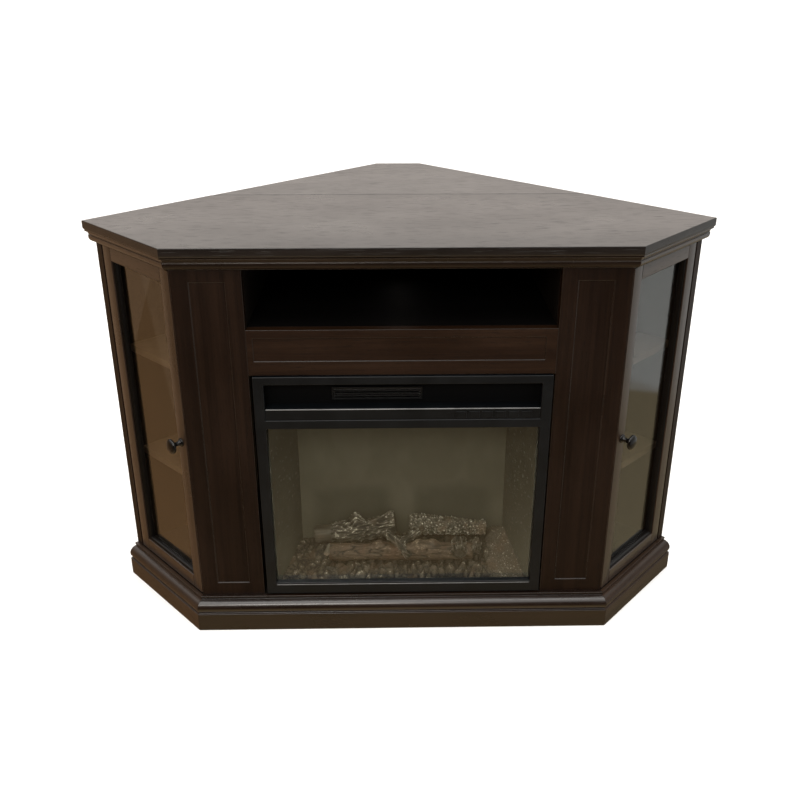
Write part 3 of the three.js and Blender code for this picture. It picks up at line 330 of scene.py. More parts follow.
def flame_screen(name):
    """Grey-green screen, darker in two soft patches low down behind the logs: painted shadows of the logs.
    """
    material, tree, shader = new_material(name)
    texture = add_node(tree, "ShaderNodeTexCoord")
    parts = add_node(tree, "ShaderNodeSeparateXYZ", {0: texture.outputs["Object"]})
    ragged = noise_value(tree, coordinates(tree, (0.04, 0.04, 0.07)), 2.0, 0.5)
    across = maths(tree, "ABSOLUTE", maths(tree, "SUBTRACT", parts.outputs["X"], INSERT_MIDDLE))
    bay = maths(tree, "MULTIPLY", ramp(tree, across, *LOG_SHADOW_INNER), ramp(tree, across, *LOG_SHADOW_OUTER))
    top = maths(tree, "SUBTRACT", parts.outputs["Z"], maths(tree, "MULTIPLY", ragged, LOG_SHADOW_WAVE))
    # patch is the mask of the painted shadow of the logs.
    patch = maths(tree, "MULTIPLY", bay, ramp(tree, top, LOG_SHADOW_TOP, LOG_SHADOW_TOP - LOG_SHADOW_FADE))
    colour = mix_colour(tree, ramp(tree, ragged, 0.3, 0.7), SCREEN_DARK, SCREEN_LIGHT)
    tree.links.new(mix_colour(tree, maths(tree, "MULTIPLY", patch, 0.55), colour, LOG_SHADOW_TONE),
                   shader.inputs["Base Color"])
    shader.inputs["Roughness"].default_value = 0.7
    return material


# ---------------------------------------------------------------- places in the insert
INSERT_MIDDLE = (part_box("firebox_bezel")[0].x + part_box("firebox_bezel")[1].x) / 2
SLOT_DEPTH = 31 * MM
SLOT_RISE = 421 * MM
# How far up the flame screen the painted shadow of the logs reaches.
LOG_SHADOW_RISE = 165 * MM
SLOT_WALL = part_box("control_panel")[0].y + SLOT_DEPTH
SLOT_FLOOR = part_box("firebox_bezel")[0].z + SLOT_RISE
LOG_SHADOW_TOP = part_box("flame_screen")[0].z + LOG_SHADOW_RISE

# ---------------------------------------------------------------- the materials by short name
MATERIALS = {
    "front_x": wood("front_wood_across", "x", DARK, LIGHT, 0.28, 0.25, gloss=0.24),
    "base_x": wood("base_wood_across", "x", DARK, LIGHT, 0.28, 0.25, coat=0.35),
    "front_z": wood("front_wood_upright", "z", DARK, LIGHT, 0.36, 0.35, gloss=0.14),
    "rail": wood("rail_wood", "x", RAIL_DARK, RAIL_LIGHT, 0.36, 0.35, gloss=0.12),
    "crown_left": wood("crown_wood_left", "left", SIDE_SHEEN_DARK, SIDE_SHEEN_LIGHT, 0.30, 0.25, coat=0.3),
    "crown_right": wood("crown_wood_right", "right", SIDE_SHEEN_DARK, SIDE_SHEEN_LIGHT, 0.30, 0.25, coat=0.4),
    "base_left": wood("base_wood_left", "left", SIDE_SHEEN_DARK, SIDE_SHEEN_LIGHT, 0.30, 0.25, gloss=0.35),
    "base_right": wood("base_wood_right", "right", SIDE_SHEEN_DARK, SIDE_SHEEN_LIGHT, 0.30, 0.25, gloss=0.20),
    "door_z": wood("door_wood_upright", "z", SIDE_SHEEN_DARK, SIDE_SHEEN_LIGHT, 0.30, 0.25, coat=0.3),
    "top": wood("top_wood", "x", TOP_DARK, TOP_LIGHT, 0.30, 0.8, pore_size=(0.040, 0.0016)),
    # The bay board is far darker than the cabinet wood: painted shade inside the recess of the media bay.
    "bay": wood("bay_board_painted_shade", "x", (0.0016, 0.0014, 0.0014), (0.0030, 0.0025, 0.0024), 0.6, gloss=0.05),
    "shelf": wood("shelf_board", "x", SHELF_DARK, SHELF_LIGHT, 0.5, gloss=0.2),
    "edge": wood("wood_edge_wear_and_sheen", "x", EDGE_WEAR_SHEEN_DARK, EDGE_WEAR_SHEEN_LIGHT, 0.26, 0.1),
    "soft_edge": wood("rubbed_wood_edge_and_sheen", "z", RUBBED_SHEEN_DARK, RUBBED_SHEEN_LIGHT, 0.28, 0.1, gloss=0.4),
    "inner": wood("inner_board", "x", INNER_DARK, INNER_LIGHT, 0.65, gloss=0.1),
    "inner_z": wood("inner_board_upright", "z", INNER_DARK, INNER_LIGHT, 0.65, gloss=0.1),
    "door_glass": clear_glass("door_glass", (0.90, 0.93, 0.91)),
    "insert_glass": clear_glass("insert_glass", (0.78, 0.79, 0.74)),
    # The bead is much darker than the door wood round it: painted shade in the reveal round the glass.
    "bead": wood("bead_wood_painted_shade", "z", (0.0022, 0.0016, 0.0013), (0.0046, 0.0032, 0.0024), 0.30, gloss=0.2),
    "bronze": painted("knob_bronze", (0.0024, 0.0020, 0.0018), 0.14, 0.0004, 0.25, 0.0, 0.03, 0.32),
    "black_metal": painted("black_powder_coat", (0.0026, 0.0036, 0.0048), 0.34, gloss=0.32),
    "black_plastic": painted("black_plastic", (0.0026, 0.0034, 0.0044), 0.34, gloss=0.30),
    # Light grey rolled edge among black parts: a painted highlight along the slot ledge and the window
    # sill.
    "lip": painted("rolled_edge_painted_highlight", (0.150, 0.150, 0.148), 0.26, depth=0.02),
    "black_plastic_fine": painted("grille_plastic", (0.0024, 0.0026, 0.0028), 0.42, gloss=0.3),
    "fan": painted("fan_plastic", (0.02, 0.02, 0.02), 0.5),
    "steel": painted("zinc_steel", (0.45, 0.44, 0.42), 0.34, 0.0005, 0.12, 1.0, 0.1),
    "sheet": painted("case_sheet", (0.30, 0.30, 0.29), 0.42, 0.0008, 0.12, 0.9, 0.1),
    "case": case_steel("insert_case", SLOT_WALL),
    "circuit": painted("circuit_board", (0.012, 0.07, 0.03), 0.4),
    "liner": painted("hearth_liner", (0.120, 0.112, 0.092), 0.8),
    "screen": flame_screen("flame_screen"),
    # Resin colours for crease, face and ridge: the crease colour is partly painted shade, the ridge colour
    # partly painted highlight.
    "brick": resin("hearth_brick", (0.118, 0.116, 0.105), (0.176, 0.173, 0.158), (0.28, 0.27, 0.25), 0.8),
    "ember": resin("ember_resin", (0.014, 0.011, 0.009), (0.090, 0.071, 0.054), (0.66, 0.60, 0.50)),
    "log": resin("log_resin", (0.018, 0.015, 0.012), (0.100, 0.084, 0.068), (0.85, 0.80, 0.70)),
    "pale_log": resin("pale_log_resin", (0.024, 0.021, 0.017), (0.165, 0.145, 0.118), (1.0, 0.95, 0.86)),
    "front_log": resin("front_log_resin", (0.020, 0.014, 0.010), (0.104, 0.070, 0.050), (0.50, 0.40, 0.30)),
    "cut": resin("cut_resin", (0.10, 0.09, 0.075), (0.27, 0.245, 0.205), (0.50, 0.47, 0.40)),
}

# ---------------------------------------------------------------- CAD nodes that stay
DRESS = {
    "front_x": ("crown_front top_frame", 0.6),
    "base_x": ("base_front", 0.6),
    "bay": ("media_shelf", 0.6),
    "rail": ("fascia_rail", 0.7),
    "front_z": ("pilaster_left pilaster_right side_panel_left side_panel_right", 1.1),
    "crown_left": ("crown_left", 0.5),
    "crown_right": ("crown_right", 0.5),
    "base_left": ("base_left", 0.5),
    "base_right": ("base_right", 0.5),
    "top": ("top_panel rear_leaf", 1.2),
    "inner": ("base_deck base_frame", 0.5),
    "shelf": ("cabinet_shelf_left_lower cabinet_shelf_left_upper "
              "cabinet_shelf_right_lower cabinet_shelf_right_upper", 0.7),
    "inner_z": ("partition_left partition_right back_panel", 0.5),
    "black_metal": ("firebox_bezel", 1.1),
    "black_plastic_fine": ("outlet_grille", 0.5),
    "black_plastic": ("control_panel " + " ".join(f"button_{i}" for i in range(1, 7)), 0.5),
    "case": ("firebox_case", 0.25),
    "sheet": ("heater_duct", 0.25),
    "steel": ("leaf_hinge_bracket leaf_hinge_leaf pivot_left_lower pivot_left_upper pivot_right_lower "
              "pivot_right_upper blower_motor rotor_motor flame_rotor", 0.25),
    "fan": ("blower_wheel", 0.2),
    "circuit": ("control_board", 0.1),
    "liner": ("hearth_liner", 0.0),
    "screen": ("flame_screen", 0.0),
    "door_glass": ("door_left_glass door_right_glass", 0.0),
    "insert_glass": ("firebox_glass", 0.0),
    "ember": ("ember_bed", 0.0),
    "log": ("log_left log_right", 0.0),
    "door_z": ("door_left_frame door_right_frame door_left_bead door_right_bead", 0.5),
    "bronze": ("door_left_knob door_right_knob", 0.0),
}
# Woods whose rounded edges are lighter, partly as rubbed wear and partly as painted sheen, and the material
# on those edges.
WORN_AND_SHEEN_EDGES = {"front_x": "edge", "front_z": "soft_edge", "rail": "soft_edge"}


def use_material(piece, material):
    piece.data.materials.clear()
    piece.data.materials.append(material)


def soften(piece, width, angle=32):
    """Joins split corners, rounds the edges and keeps the flats flat."""
    weld = piece.modifiers.new("weld", "WELD")
    weld.merge_threshold = 0.00001
    flat = piece.modifiers.new("flat", "DECIMATE")
    flat.decimate_type = "DISSOLVE"
    flat.angle_limit = math.radians(1)
    if width > 0:
        round_edges = piece.modifiers.new("round", "BEVEL")
        round_edges.width = width * MM
        round_edges.segments = 3
        round_edges.limit_method = "ANGLE"
        round_edges.angle_limit = math.radians(angle)
        round_edges.use_clamp_overlap = True
    normals = piece.modifiers.new("normals", "WEIGHTED_NORMAL")
    normals.keep_sharp = True
    for face in piece.data.polygons:
        face.use_smooth = True


def dress_nodes():
    for key, (names, width) in DRESS.items():
        for name in names.split():
            use_material(NODES[name], MATERIALS[key])
            soften(NODES[name], width)
            if key in WORN_AND_SHEEN_EDGES:
                NODES[name].data.materials.append(MATERIALS[WORN_AND_SHEEN_EDGES[key]])
                NODES[name].modifiers["round"].material = 1


# ---------------------------------------------------------------- floor and light
WARM_FLOOR = (0.340, 0.190, 0.088)
WARM_PATCH = (0.470, 0.290, 0.165)
LEFT_WALL = (0.42, 0.30, 0.205)
GREY_WALL = (0.56, 0.56, 0.54)
BEIGE_FLOOR = (0.310, 0.255, 0.160)
FRONT_DARK = (0.030, 0.018, 0.012)
FRONT_FLOOR = (0.60, 0.43, 0.22)
FRONT_WALL = (0.060, 0.050, 0.042)
BACK_LOW = (0.88, 0.79, 0.73)
BACK_HIGH = (1.72, 1.57, 1.44)
CEILING = (1.95, 1.92, 1.87)
PATCH_SLOPE = 1.2
PATCH_EDGE = 0.003
PATCH_SOFT = 0.006
SIDE_WALLS = (0.40, 0.65)
WALL_FOOT = (-0.428, -0.421)
FRONT_FALL = (-0.28, -0.85)
BACK_RISE = (0.12, 0.34)
FRONT_TURN = (0.0, -0.35)
CEILING_RISE = (0.38, 0.72)
HORIZON = (-0.06, 0.02)
FLOOR_HALF = 300
FLOOR_GAP = 0.2 * MM


def add_floor():
    """A wide pale plane under the cabinet. Polish and glass see the world below it instead."""
    mesh = bpy.data.meshes.new("floor")
    ends = (-FLOOR_HALF, FLOOR_HALF)
    corners = [(ends[i], ends[j], FLOOR_Z - FLOOR_GAP) for i, j in ((0, 0), (1, 0), (1, 1), (0, 1))]
    mesh.from_pydata(corners, [], [(0, 1, 2, 3)])
    floor = bpy.data.objects.new("floor", mesh)
    bpy.context.scene.collection.objects.link(floor)
    material, tree, shader = new_material("pale_floor")
    soft = noise_value(tree, coordinates(tree, (0.4, 0.4, 0.4)), 2.0, 0.5)
    tree.links.new(mix_colour(tree, soft, (0.90, 0.90, 0.90), (0.93, 0.93, 0.93)),
                   shader.inputs["Base Color"])
    shader.inputs["Roughness"].default_value = 0.8
    use_material(floor, material)
    floor.visible_glossy = False
    floor.visible_transmission = False


def add_world():
    """A bright wall behind and a ceiling, dimmer walls on the other sides, and below the horizon
    the tones that polish mirrors: boards on the left, a pale wall and floor on the right. The
    limits that the tones fade between are parts of a direction of length 1."""
    world = bpy.data.worlds.new("studio")
    bpy.context.scene.world = world
    world.use_nodes = True
    tree = world.node_tree
    tree.nodes.clear()
    direction = add_node(tree, "ShaderNodeTexCoord").outputs["Generated"]
    x, y, z = add_node(tree, "ShaderNodeSeparateXYZ", {0: direction}).outputs
    right = ramp(tree, x, *SIDE_WALLS)
    left = ramp(tree, x, *(-limit for limit in SIDE_WALLS))
    lower_right = mix_colour(tree, ramp(tree, z, *WALL_FOOT), BEIGE_FLOOR, GREY_WALL)
    slope = maths(tree, "ADD", z, maths(tree, "MULTIPLY", y, PATCH_SLOPE))
    patch = ramp(tree, slope, PATCH_EDGE, PATCH_EDGE + PATCH_SOFT)
    lower_left = mix_colour(tree, patch, WARM_FLOOR, WARM_PATCH)
    lower_front = mix_colour(tree, ramp(tree, z, *FRONT_FALL), FRONT_DARK, FRONT_FLOOR)
    lower = mix_colour(tree, left, mix_colour(tree, right, lower_front, lower_right), lower_left)
    back = mix_colour(tree, ramp(tree, z, *BACK_RISE), BACK_LOW, BACK_HIGH)
    front = mix_colour(tree, ramp(tree, y, *FRONT_TURN), back, FRONT_WALL)
    walls = mix_colour(tree, left, mix_colour(tree, right, front, GREY_WALL), LEFT_WALL)
    upper = mix_colour(tree, ramp(tree, z, *CEILING_RISE), walls, CEILING)
    colour = mix_colour(tree, ramp(tree, z, *HORIZON), lower, upper)
    background = add_node(tree, "ShaderNodeBackground", {"Color": colour, "Strength": 1.0})
    output = add_node(tree, "ShaderNodeOutputWorld")
    tree.links.new(background.outputs[0], output.inputs["Surface"])


def add_lamp(name, place, target, size, power, colour=(1, 1, 1)):
    lamp = bpy.data.lights.new(name, "AREA")
    lamp.shape = "RECTANGLE"
    lamp.size, lamp.size_y = size
    lamp.energy = power
    lamp.color = colour
    holder = bpy.data.objects.new(name, lamp)
    holder.location = place
    aim = Vector(target) - Vector(place)
    holder.rotation_euler = aim.to_track_quat("-Z", "Y").to_euler()
    bpy.context.scene.collection.objects.link(holder)


def add_lamps():
    """A broad lamp over the cabinet and a smaller one high in front: place, target, size, watts."""
    add_lamp("overhead", (0.0, -0.9, 2.9), (0, -0.1, 0.4), (2.4, 1.6), 26, (1.0, 0.98, 0.95))
    add_lamp("front_window", (-0.5, -3.0, 2.3), (0, -0.3, 0.3), (1.2, 0.9), 32, (1.0, 0.95, 0.88))


# ---------------------------------------------------------------- mesh helpers
def make_piece(name, vertices, faces, material, body, smooth=True, replaces=(), relief=None):
    mesh = bpy.data.meshes.new(name)
    mesh.from_pydata([tuple(v) for v in vertices], [], faces)
    if relief:
        heights = mesh.attributes.new("relief", "FLOAT", "POINT")
        heights.data.foreach_set("value", relief)
    work = bmesh.new()
    work.from_mesh(mesh)
    bmesh.ops.remove_doubles(work, verts=work.verts, dist=0.000001)
    bmesh.ops.recalc_face_normals(work, faces=work.faces)
    work.to_mesh(mesh)
    work.free()
    piece = bpy.data.objects.new(name, mesh)
    bpy.context.scene.collection.objects.link(piece)
    use_material(piece, material)
    for face in mesh.polygons:
        face.use_smooth = smooth
    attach(piece, body)
    if replaces:
        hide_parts(*replaces)
    return piece


def sharpen(piece, angle=35):
    piece.data.set_sharp_from_angle(angle=math.radians(angle))


def rounded_outline(points, radius, segments=4):
    """A closed outline with its convex corners rounded."""
    result = []
    count = len(points)
    for i, corner in enumerate(points):
        here = Vector(corner)
        before = (Vector(points[i - 1]) - here).normalized()
        after = (Vector(points[(i + 1) % count]) - here).normalized()
        half = before.angle(after) / 2
        reach = radius / math.tan(half)
        middle = here + (before + after).normalized() * radius / math.sin(half)
        start = here + before * reach - middle
        turn = start.angle_signed(here + after * reach - middle)
        for k in range(segments + 1):
            spin = Matrix.Rotation(-turn * k / segments, 2)
            result.append(middle + spin @ start)
    return result


def ring_faces(ring_count, ring_size, closed=True):
    """Faces between rings of vertices that follow each other."""
    faces = []
    for i in range(ring_count - 1):
        for k in range(ring_size if closed else ring_size - 1):
            after = (k + 1) % ring_size
            faces.append((i * ring_size + k, i * ring_size + after,
                          (i + 1) * ring_size + after, (i + 1) * ring_size + k))
    return faces


def inset(points, distance):
    """A convex outline, drawn anticlockwise, moved inwards by a distance on every edge."""
    lines = []
    for i, point in enumerate(points):
        start = Vector(point)
        along = (Vector(points[(i + 1) % len(points)]) - start).normalized()
        lines.append((start + Vector((-along.y, along.x)) * distance, along))
    moved = []
    for i, (start, along) in enumerate(lines):
        other, other_along = lines[i - 1]
        cross = other_along.x * along.y - other_along.y * along.x
        gap = start - other
        run = (gap.x * along.y - gap.y * along.x) / cross
        moved.append(other + other_along * run)
    return moved


def edge_profile(low, high, bottom_radius, top_radius, steps=5):
    """(inset, height) from the middle of the underside, round the edge, to the top."""
    profile = []
    for k in range(steps + 1):
        angle = math.pi / 2 * k / steps
        profile.append((bottom_radius * (1 - math.sin(angle)), low + bottom_radius * (1 - math.cos(angle))))
    for k in range(steps + 1):
        angle = math.pi / 2 * k / steps
        profile.append((top_radius * (1 - math.cos(angle)), high - top_radius * (1 - math.sin(angle))))
    return profile


def slab(name, outline, span, radii, material, body, replaces):
    """A board seen from above as a convex outline, with rounded upper and lower edges."""
    vertices = []
    profile = edge_profile(span[0], span[1], *radii)
    for distance, height in profile:
        vertices += [(p.x, p.y, height) for p in inset(outline, distance)]
    size = len(outline)
    faces = ring_faces(len(profile), size)
    faces.append(tuple(range(size)))
    faces.append(tuple(range((len(profile) - 1) * size, len(profile) * size)))
    piece = make_piece(name, vertices, faces, material, body, True, replaces)
    sharpen(piece, 25)
    return piece


# ---------------------------------------------------------------- top and leaf
SLAB_RADIUS_LOW = 4.0 * MM
SLAB_RADIUS_HIGH = 1.3 * MM
LEAF_RADIUS_HIGH = 3.0 * MM


def plan_outline(node):
    """The corners of a flat CAD board seen from above, anticlockwise."""
    low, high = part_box(node)
    places = {(round(v.co.x, 6), round(v.co.y, 6)) for v in NODES[node].data.vertices
              if v.co.z > (low.z + high.z) / 2}
    middle = (low + high) / 2
    return sorted(places, key=lambda p: math.atan2(p[1] - middle.y, p[0] - middle.x))


def add_top():
    for name, node, body, radius in (("top_slab", "top_panel", "cabinet", SLAB_RADIUS_HIGH),
                                     ("leaf_slab", "rear_leaf", "leaf", LEAF_RADIUS_HIGH)):
        low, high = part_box(node)
        slab(name, plan_outline(node), (low.z, high.z), (SLAB_RADIUS_LOW, radius), MATERIALS["top"],
             body, [node])


# ---------------------------------------------------------------- doors
STILE = 27.5 * MM
RAIL_LOWER = 29 * MM
RAIL_UPPER = 26.5 * MM
DOOR_ALONG, DOOR_THICKNESS, DOOR_HEIGHT = side_spans("door_right_frame")
DOOR_INNER = (DOOR_ALONG[0] + STILE, DOOR_ALONG[1] - STILE)
BOARD_EDGE = 0.8 * MM
BUTT_GAP = 0.7 * MM
BEAD_SETBACK = 2.5 * MM
BEAD_WIDTH = 7 * MM
BEAD_CLEAR = 0.3 * MM
BEAD_STEP = (0.9 * MM, 0.7 * MM)
BEAD_FILLET = 0.7 * MM
BEAD_TURN = 8


def side_board(name, side, along, depth, height, material, body, replaces=()):
    """A door board with rounded long edges: its section is swept from one end to the other."""
    upright = height[1] - height[0] > along[1] - along[0]
    across = along if upright else height
    section = [(across[0], depth[0]), (across[1], depth[0]), (across[1], depth[1]), (across[0], depth[1])]
    ring = rounded_outline(section, BOARD_EDGE, 3)
    run = height if upright else along
    chamfer = BOARD_EDGE * 0.4
    stations = [(run[0], 0.9 * chamfer), (run[0] + chamfer, 0.0), (run[1] - chamfer, 0.0),
                (run[1], 0.9 * chamfer)]
    centre = Vector(((across[0] + across[1]) / 2, (depth[0] + depth[1]) / 2))
    half = Vector(((across[1] - across[0]) / 2, (depth[1] - depth[0]) / 2))
    vertices = []
    for place, shrink in stations:
        for point in ring:
            offset = point - centre
            offset.x *= 1 - shrink / half.x
            offset.y *= 1 - shrink / half.y
            a, d = centre + offset
            spot = (a, d, place) if upright else (place, d, a)
            vertices.append(side_place(side, *spot))
    faces = ring_faces(len(stations), len(ring))
    faces.append(tuple(range(len(ring))))
    faces.append(tuple(range(len(vertices) - len(ring), len(vertices))))
    piece = make_piece(name, vertices, faces, material, body, True, replaces)
    sharpen(piece, 30)
    return piece


def bead_profile(width, front, back):
    """(distance inwards, depth): a small step, a quarter round and a fillet down to the glass."""
    step, drop = BEAD_STEP
    profile = [(0.0, back), (0.0, front), (step, front), (step, front + drop)]
    reach = width - 2.4 * MM
    fall = back - front - 3.2 * MM
    for k in range(BEAD_TURN + 1):
        angle = math.pi / 2 * k / BEAD_TURN
        profile.append((step + reach * math.sin(angle), front + drop + fall * (1 - math.cos(angle))))
    profile += [(width - BEAD_FILLET, back - 2.2 * MM), (width, back - 1.8 * MM), (width, back)]
    return profile


def add_bead(name, side):
    """The moulding that runs round the inside of a door frame and holds its glass."""
    _, back, height = side_spans("door_right_bead")
    along = (DOOR_INNER[0] + BEAD_CLEAR, DOOR_INNER[1] - BEAD_CLEAR)
    profile = bead_profile(BEAD_WIDTH, BEAD_SETBACK, back)
    vertices = []
    for distance, depth in profile:
        corners = [(along[0] + distance, height[0] + distance), (along[1] - distance, height[0] + distance),
                   (along[1] - distance, height[1] - distance), (along[0] + distance, height[1] - distance)]
        vertices += [side_place(side, a, depth, z) for a, z in corners]
    faces = ring_faces(len(profile), 4)
    last = (len(profile) - 1) * 4
    faces += [(k, (k + 1) % 4, last + (k + 1) % 4, last + k) for k in range(4)]
    piece = make_piece(f"door_{name}_moulding", vertices, faces, MATERIALS["bead"],
                       f"door_{name}", True, [f"door_{name}_bead"])
    sharpen(piece, 40)


def add_door(name, side):
    """Two stiles with two rails butted between them, a moulding round the glass, and a knob."""
    body = f"door_{name}"
    depth = (0.0, DOOR_THICKNESS)
    low, high = DOOR_HEIGHT
    upright = MATERIALS["door_z"]
    across = MATERIALS[f"crown_{name}"]
    side_board(f"{body}_free_stile", side, (DOOR_ALONG[0], DOOR_INNER[0]), depth, (low, high),
               upright, body, [f"{body}_frame"])
    side_board(f"{body}_hinge_stile", side, (DOOR_INNER[1], DOOR_ALONG[1]), depth, (low, high),
               upright, body)
    joint = (DOOR_INNER[0] + BUTT_GAP, DOOR_INNER[1] - BUTT_GAP)
    side_board(f"{body}_bottom_rail", side, joint, depth, (low, low + RAIL_LOWER),
               across, body)
    side_board(f"{body}_top_rail", side, joint, depth, (high - RAIL_UPPER, high),
               across, body)
    add_bead(name, side)
    add_knob(name, side)


KNOB_LENGTH = 28
KNOB_ALONG = 17.5 * MM
KNOB_CLEAR = 0.15 * MM
KNOB_CAP_FROM = 21.4
KNOB_SEGMENTS = 48


def knob_profile(radius, length):
    """(distance from the axis, height above the door): a flange, a neck and a domed cap."""
    profile = [(0, 0), (8.5, 0), (8.6, 1.2), (8.0, 2.3), (6.6, 3.0), (5.4, 4.6), (4.6, 7.0), (4.2, 10.0),
               (4.5, 13.0), (5.8, 15.6), (8.6, 17.6), (radius - 2.2, 18.6), (radius - 0.6, 19.8)]
    rise = length - KNOB_CAP_FROM
    for k in range(11):
        angle = math.pi / 2 * k / 10
        profile.append((radius * math.cos(angle) ** 0.8, KNOB_CAP_FROM + rise * math.sin(angle)))
    return profile


def add_knob(name, side):
    low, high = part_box(f"door_{name}_knob")
    height = (low.z + high.z) / 2
    along = DOOR_ALONG[0] + KNOB_ALONG
    profile = knob_profile((high.z - low.z) / 2 / MM, KNOB_LENGTH)
    vertices = []
    for radius, stand in profile:
        for k in range(KNOB_SEGMENTS):
            angle = 2 * math.pi * k / KNOB_SEGMENTS
            vertices.append(side_place(side, along + radius * MM * math.cos(angle),
                                       -stand * MM - KNOB_CLEAR,
                                       height + radius * MM * math.sin(angle)))
    piece = make_piece(f"door_{name}_pull", vertices, ring_faces(len(profile), KNOB_SEGMENTS),
                       MATERIALS["bronze"], f"door_{name}", True, [f"door_{name}_knob"])
    sharpen(piece, 50)


# ---------------------------------------------------------------- hearth
HEARTH_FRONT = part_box("hearth_liner")[0].y
HEARTH_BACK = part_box("flame_screen")[0].y
HEARTH_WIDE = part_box("hearth_liner")[1].x - INSERT_MIDDLE
HEARTH_TAPER = 41 * MM
HEARTH_WALL = 4.5 * MM
INSERT_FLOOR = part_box("firebox_bezel")[0].z
BED_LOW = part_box("ember_bed")[0]


def hearth_half(y):
    """Half the clear width of the hearth between its side walls, at a depth."""
    share = (y - HEARTH_FRONT) / (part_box("hearth_liner")[1].y - HEARTH_FRONT)
    return HEARTH_WIDE - HEARTH_WALL - HEARTH_TAPER * share


def smooth(value, low, high):
    t = min(max((value - low) / (high - low), 0.0), 1.0)
    return t * t * (3 - 2 * t)


def between(value, points):
    """A value read off straight lines between points."""
    for (x0, y0), (x1, y1) in zip(points, points[1:]):
        if value <= x1:
            return y0 + (y1 - y0) * max(value - x0, 0.0) / (x1 - x0)
    return points[-1][1]


def lumps(place, size):
    """Rounded lumps with creases between them: 1 on top of a lump, 0 in a crease."""
    distances, _ = noise.voronoi(place / size)
    return min((distances[1] - distances[0]) * 2.0, 1.0)


# (depth, height) along the middle of the ember bed and along its banks beside the side walls.
MIDDLE_PROFILE = [(0, 10), (4, 16), (18, 28), (26, 33), (36, 30), (56, 30), (66, 50), (110, 55)]
BANK_RIGHT = [(0, 10), (12, 18), (100, 72), (110, 70)]
BANK_LEFT = [(0, 10), (12, 18), (100, 46), (110, 44)]
BANK_FROM, BANK_TO = 160, 200
COAL_SIZE = 15.0
COAL_RISE = 9.0
GRAIN_SIZE = 4.2
GRIT_SIZE = 1.8
BED_LEAST = 3.0
BED_CLEAR = 1 * MM
EDGE_RELIEF = 0.3


def bed_surface(x, depth):
    """Height of the ember bed over the bottom of the insert in millimetres, and its relief."""
    share = smooth(abs(x), BANK_FROM, BANK_TO)
    bank = between(depth, BANK_RIGHT if x > 0 else BANK_LEFT)
    height = between(depth, MIDDLE_PROFILE) * (1 - share) + bank * share
    place = Vector((x, depth * 1.2, 11))
    twist = place + noise.noise_vector(place / 14) * 5
    coal = lumps(twist, COAL_SIZE)
    grain = lumps(twist, GRAIN_SIZE)
    rough = noise.noise(place / GRIT_SIZE)
    big = COAL_RISE * (1 - 0.85 * share) * (0.3 + 0.7 * smooth(depth, 2, 12))
    height += coal * big + grain * 2.4 + rough * 1.2 - 0.6 * big
    relief = 0.50 * coal + 0.30 * grain + 0.18 * rough + 0.02
    # The right bank is made lighter in relief: painted light where that bank is lit.
    if x > 0:
        relief += (0.46 + 0.28 * grain + 0.22 * rough - relief) * share
    return max(height, BED_LEAST), min(max(relief, 0.0), 1.0)


def grid_border(columns, rows):
    """The vertices round the rim of a grid of cells, in order."""
    wide = columns + 1
    border = list(range(wide))
    border += [r * wide + columns for r in range(1, rows + 1)]
    border += [rows * wide + c for c in range(columns - 1, -1, -1)]
    border += [r * wide for r in range(rows - 1, 0, -1)]
    return border


def add_ember_bed():
    """The bed's upper surface as a grid, closed down to its flat underside."""
    columns, rows = 400, 90
    front = BED_LOW.y
    reach = HEARTH_BACK - BED_CLEAR - front
    vertices, relief = [], []
    for row in range(rows + 1):
        y = front + reach * row / rows
        half = hearth_half(y)
        for column in range(columns + 1):
            x = -half + 2 * half * column / columns
            height, shade = bed_surface(x / MM, (y - front) / MM)
            vertices.append((INSERT_MIDDLE + x, y, INSERT_FLOOR + height * MM))
            relief.append(shade)
    faces = ring_faces(rows + 1, columns + 1, False)
    border = grid_border(columns, rows)
    start, count = len(vertices), len(border)
    vertices += [(vertices[i][0], vertices[i][1], BED_LOW.z) for i in border]
    relief += [EDGE_RELIEF] * count
    for k in range(count):
        after = (k + 1) % count
        faces.append((border[k], border[after], start + after, start + k))
    faces.append(tuple(range(start, start + count)))
    make_piece("ember_coals", vertices, faces, MATERIALS["ember"], "cabinet", True,
               ["ember_bed"], relief)


LOG_STEP_ROUND = 1.3
LOG_STEP_ALONG = 1.4


def bark(along, ring, seed, style):
    """Height of bark in millimetres and its relief from 0 to 1, at a place on a log."""
    if style == "cells":
        spot = Vector((along / 6.0, ring.x / 5.0, ring.y / 5.0 + seed))
        distances, _ = noise.voronoi(spot + noise.noise_vector(spot * 0.6) * 0.7)
        cell = min((distances[1] - distances[0]) * 2.2, 1.0)
        fine = noise.noise(spot * 2.4)
        return cell * 4.6 + fine * 1.6, 0.15 + 0.62 * cell + 0.25 * fine
    if style == "worn":
        spot = Vector((along / 34.0, ring.x / 7.0, ring.y / 7.0 + seed))
        plate = noise.noise(spot * 1.2) * 1.6
        spot += noise.noise_vector(spot * 0.8) * 0.6
        crease = min(abs(noise.noise(spot)) * 6.0, 1.0)
        fine = noise.noise(Vector((along / 5.0, ring.x / 2.5, ring.y / 2.5 + seed)))
        return crease * 2.6 + plate + fine * 0.8 + 1.0, 0.10 + 0.48 * crease + 0.22 * fine
    if style == "smooth":
        slow = noise.noise(Vector((along / 30, ring.x / 5, ring.y / 5 + seed)))
        return slow * 0.8 + 1.5, 0.45 + 0.25 * slow
    spot = Vector((along / 20.0, ring.x / 4.4, ring.y / 4.4 + seed))
    spot += noise.noise_vector(spot * 0.5) * 0.5
    ridge = 1 - min(abs(noise.noise(spot)) * 3.2, 1.0)
    broken = noise.noise(Vector((along / 7.0, ring.x / 3.0, ring.y / 3.0 + seed)))
    return ridge * 4.4 + broken * 2.0, 0.12 + 0.66 * ridge + 0.24 * broken


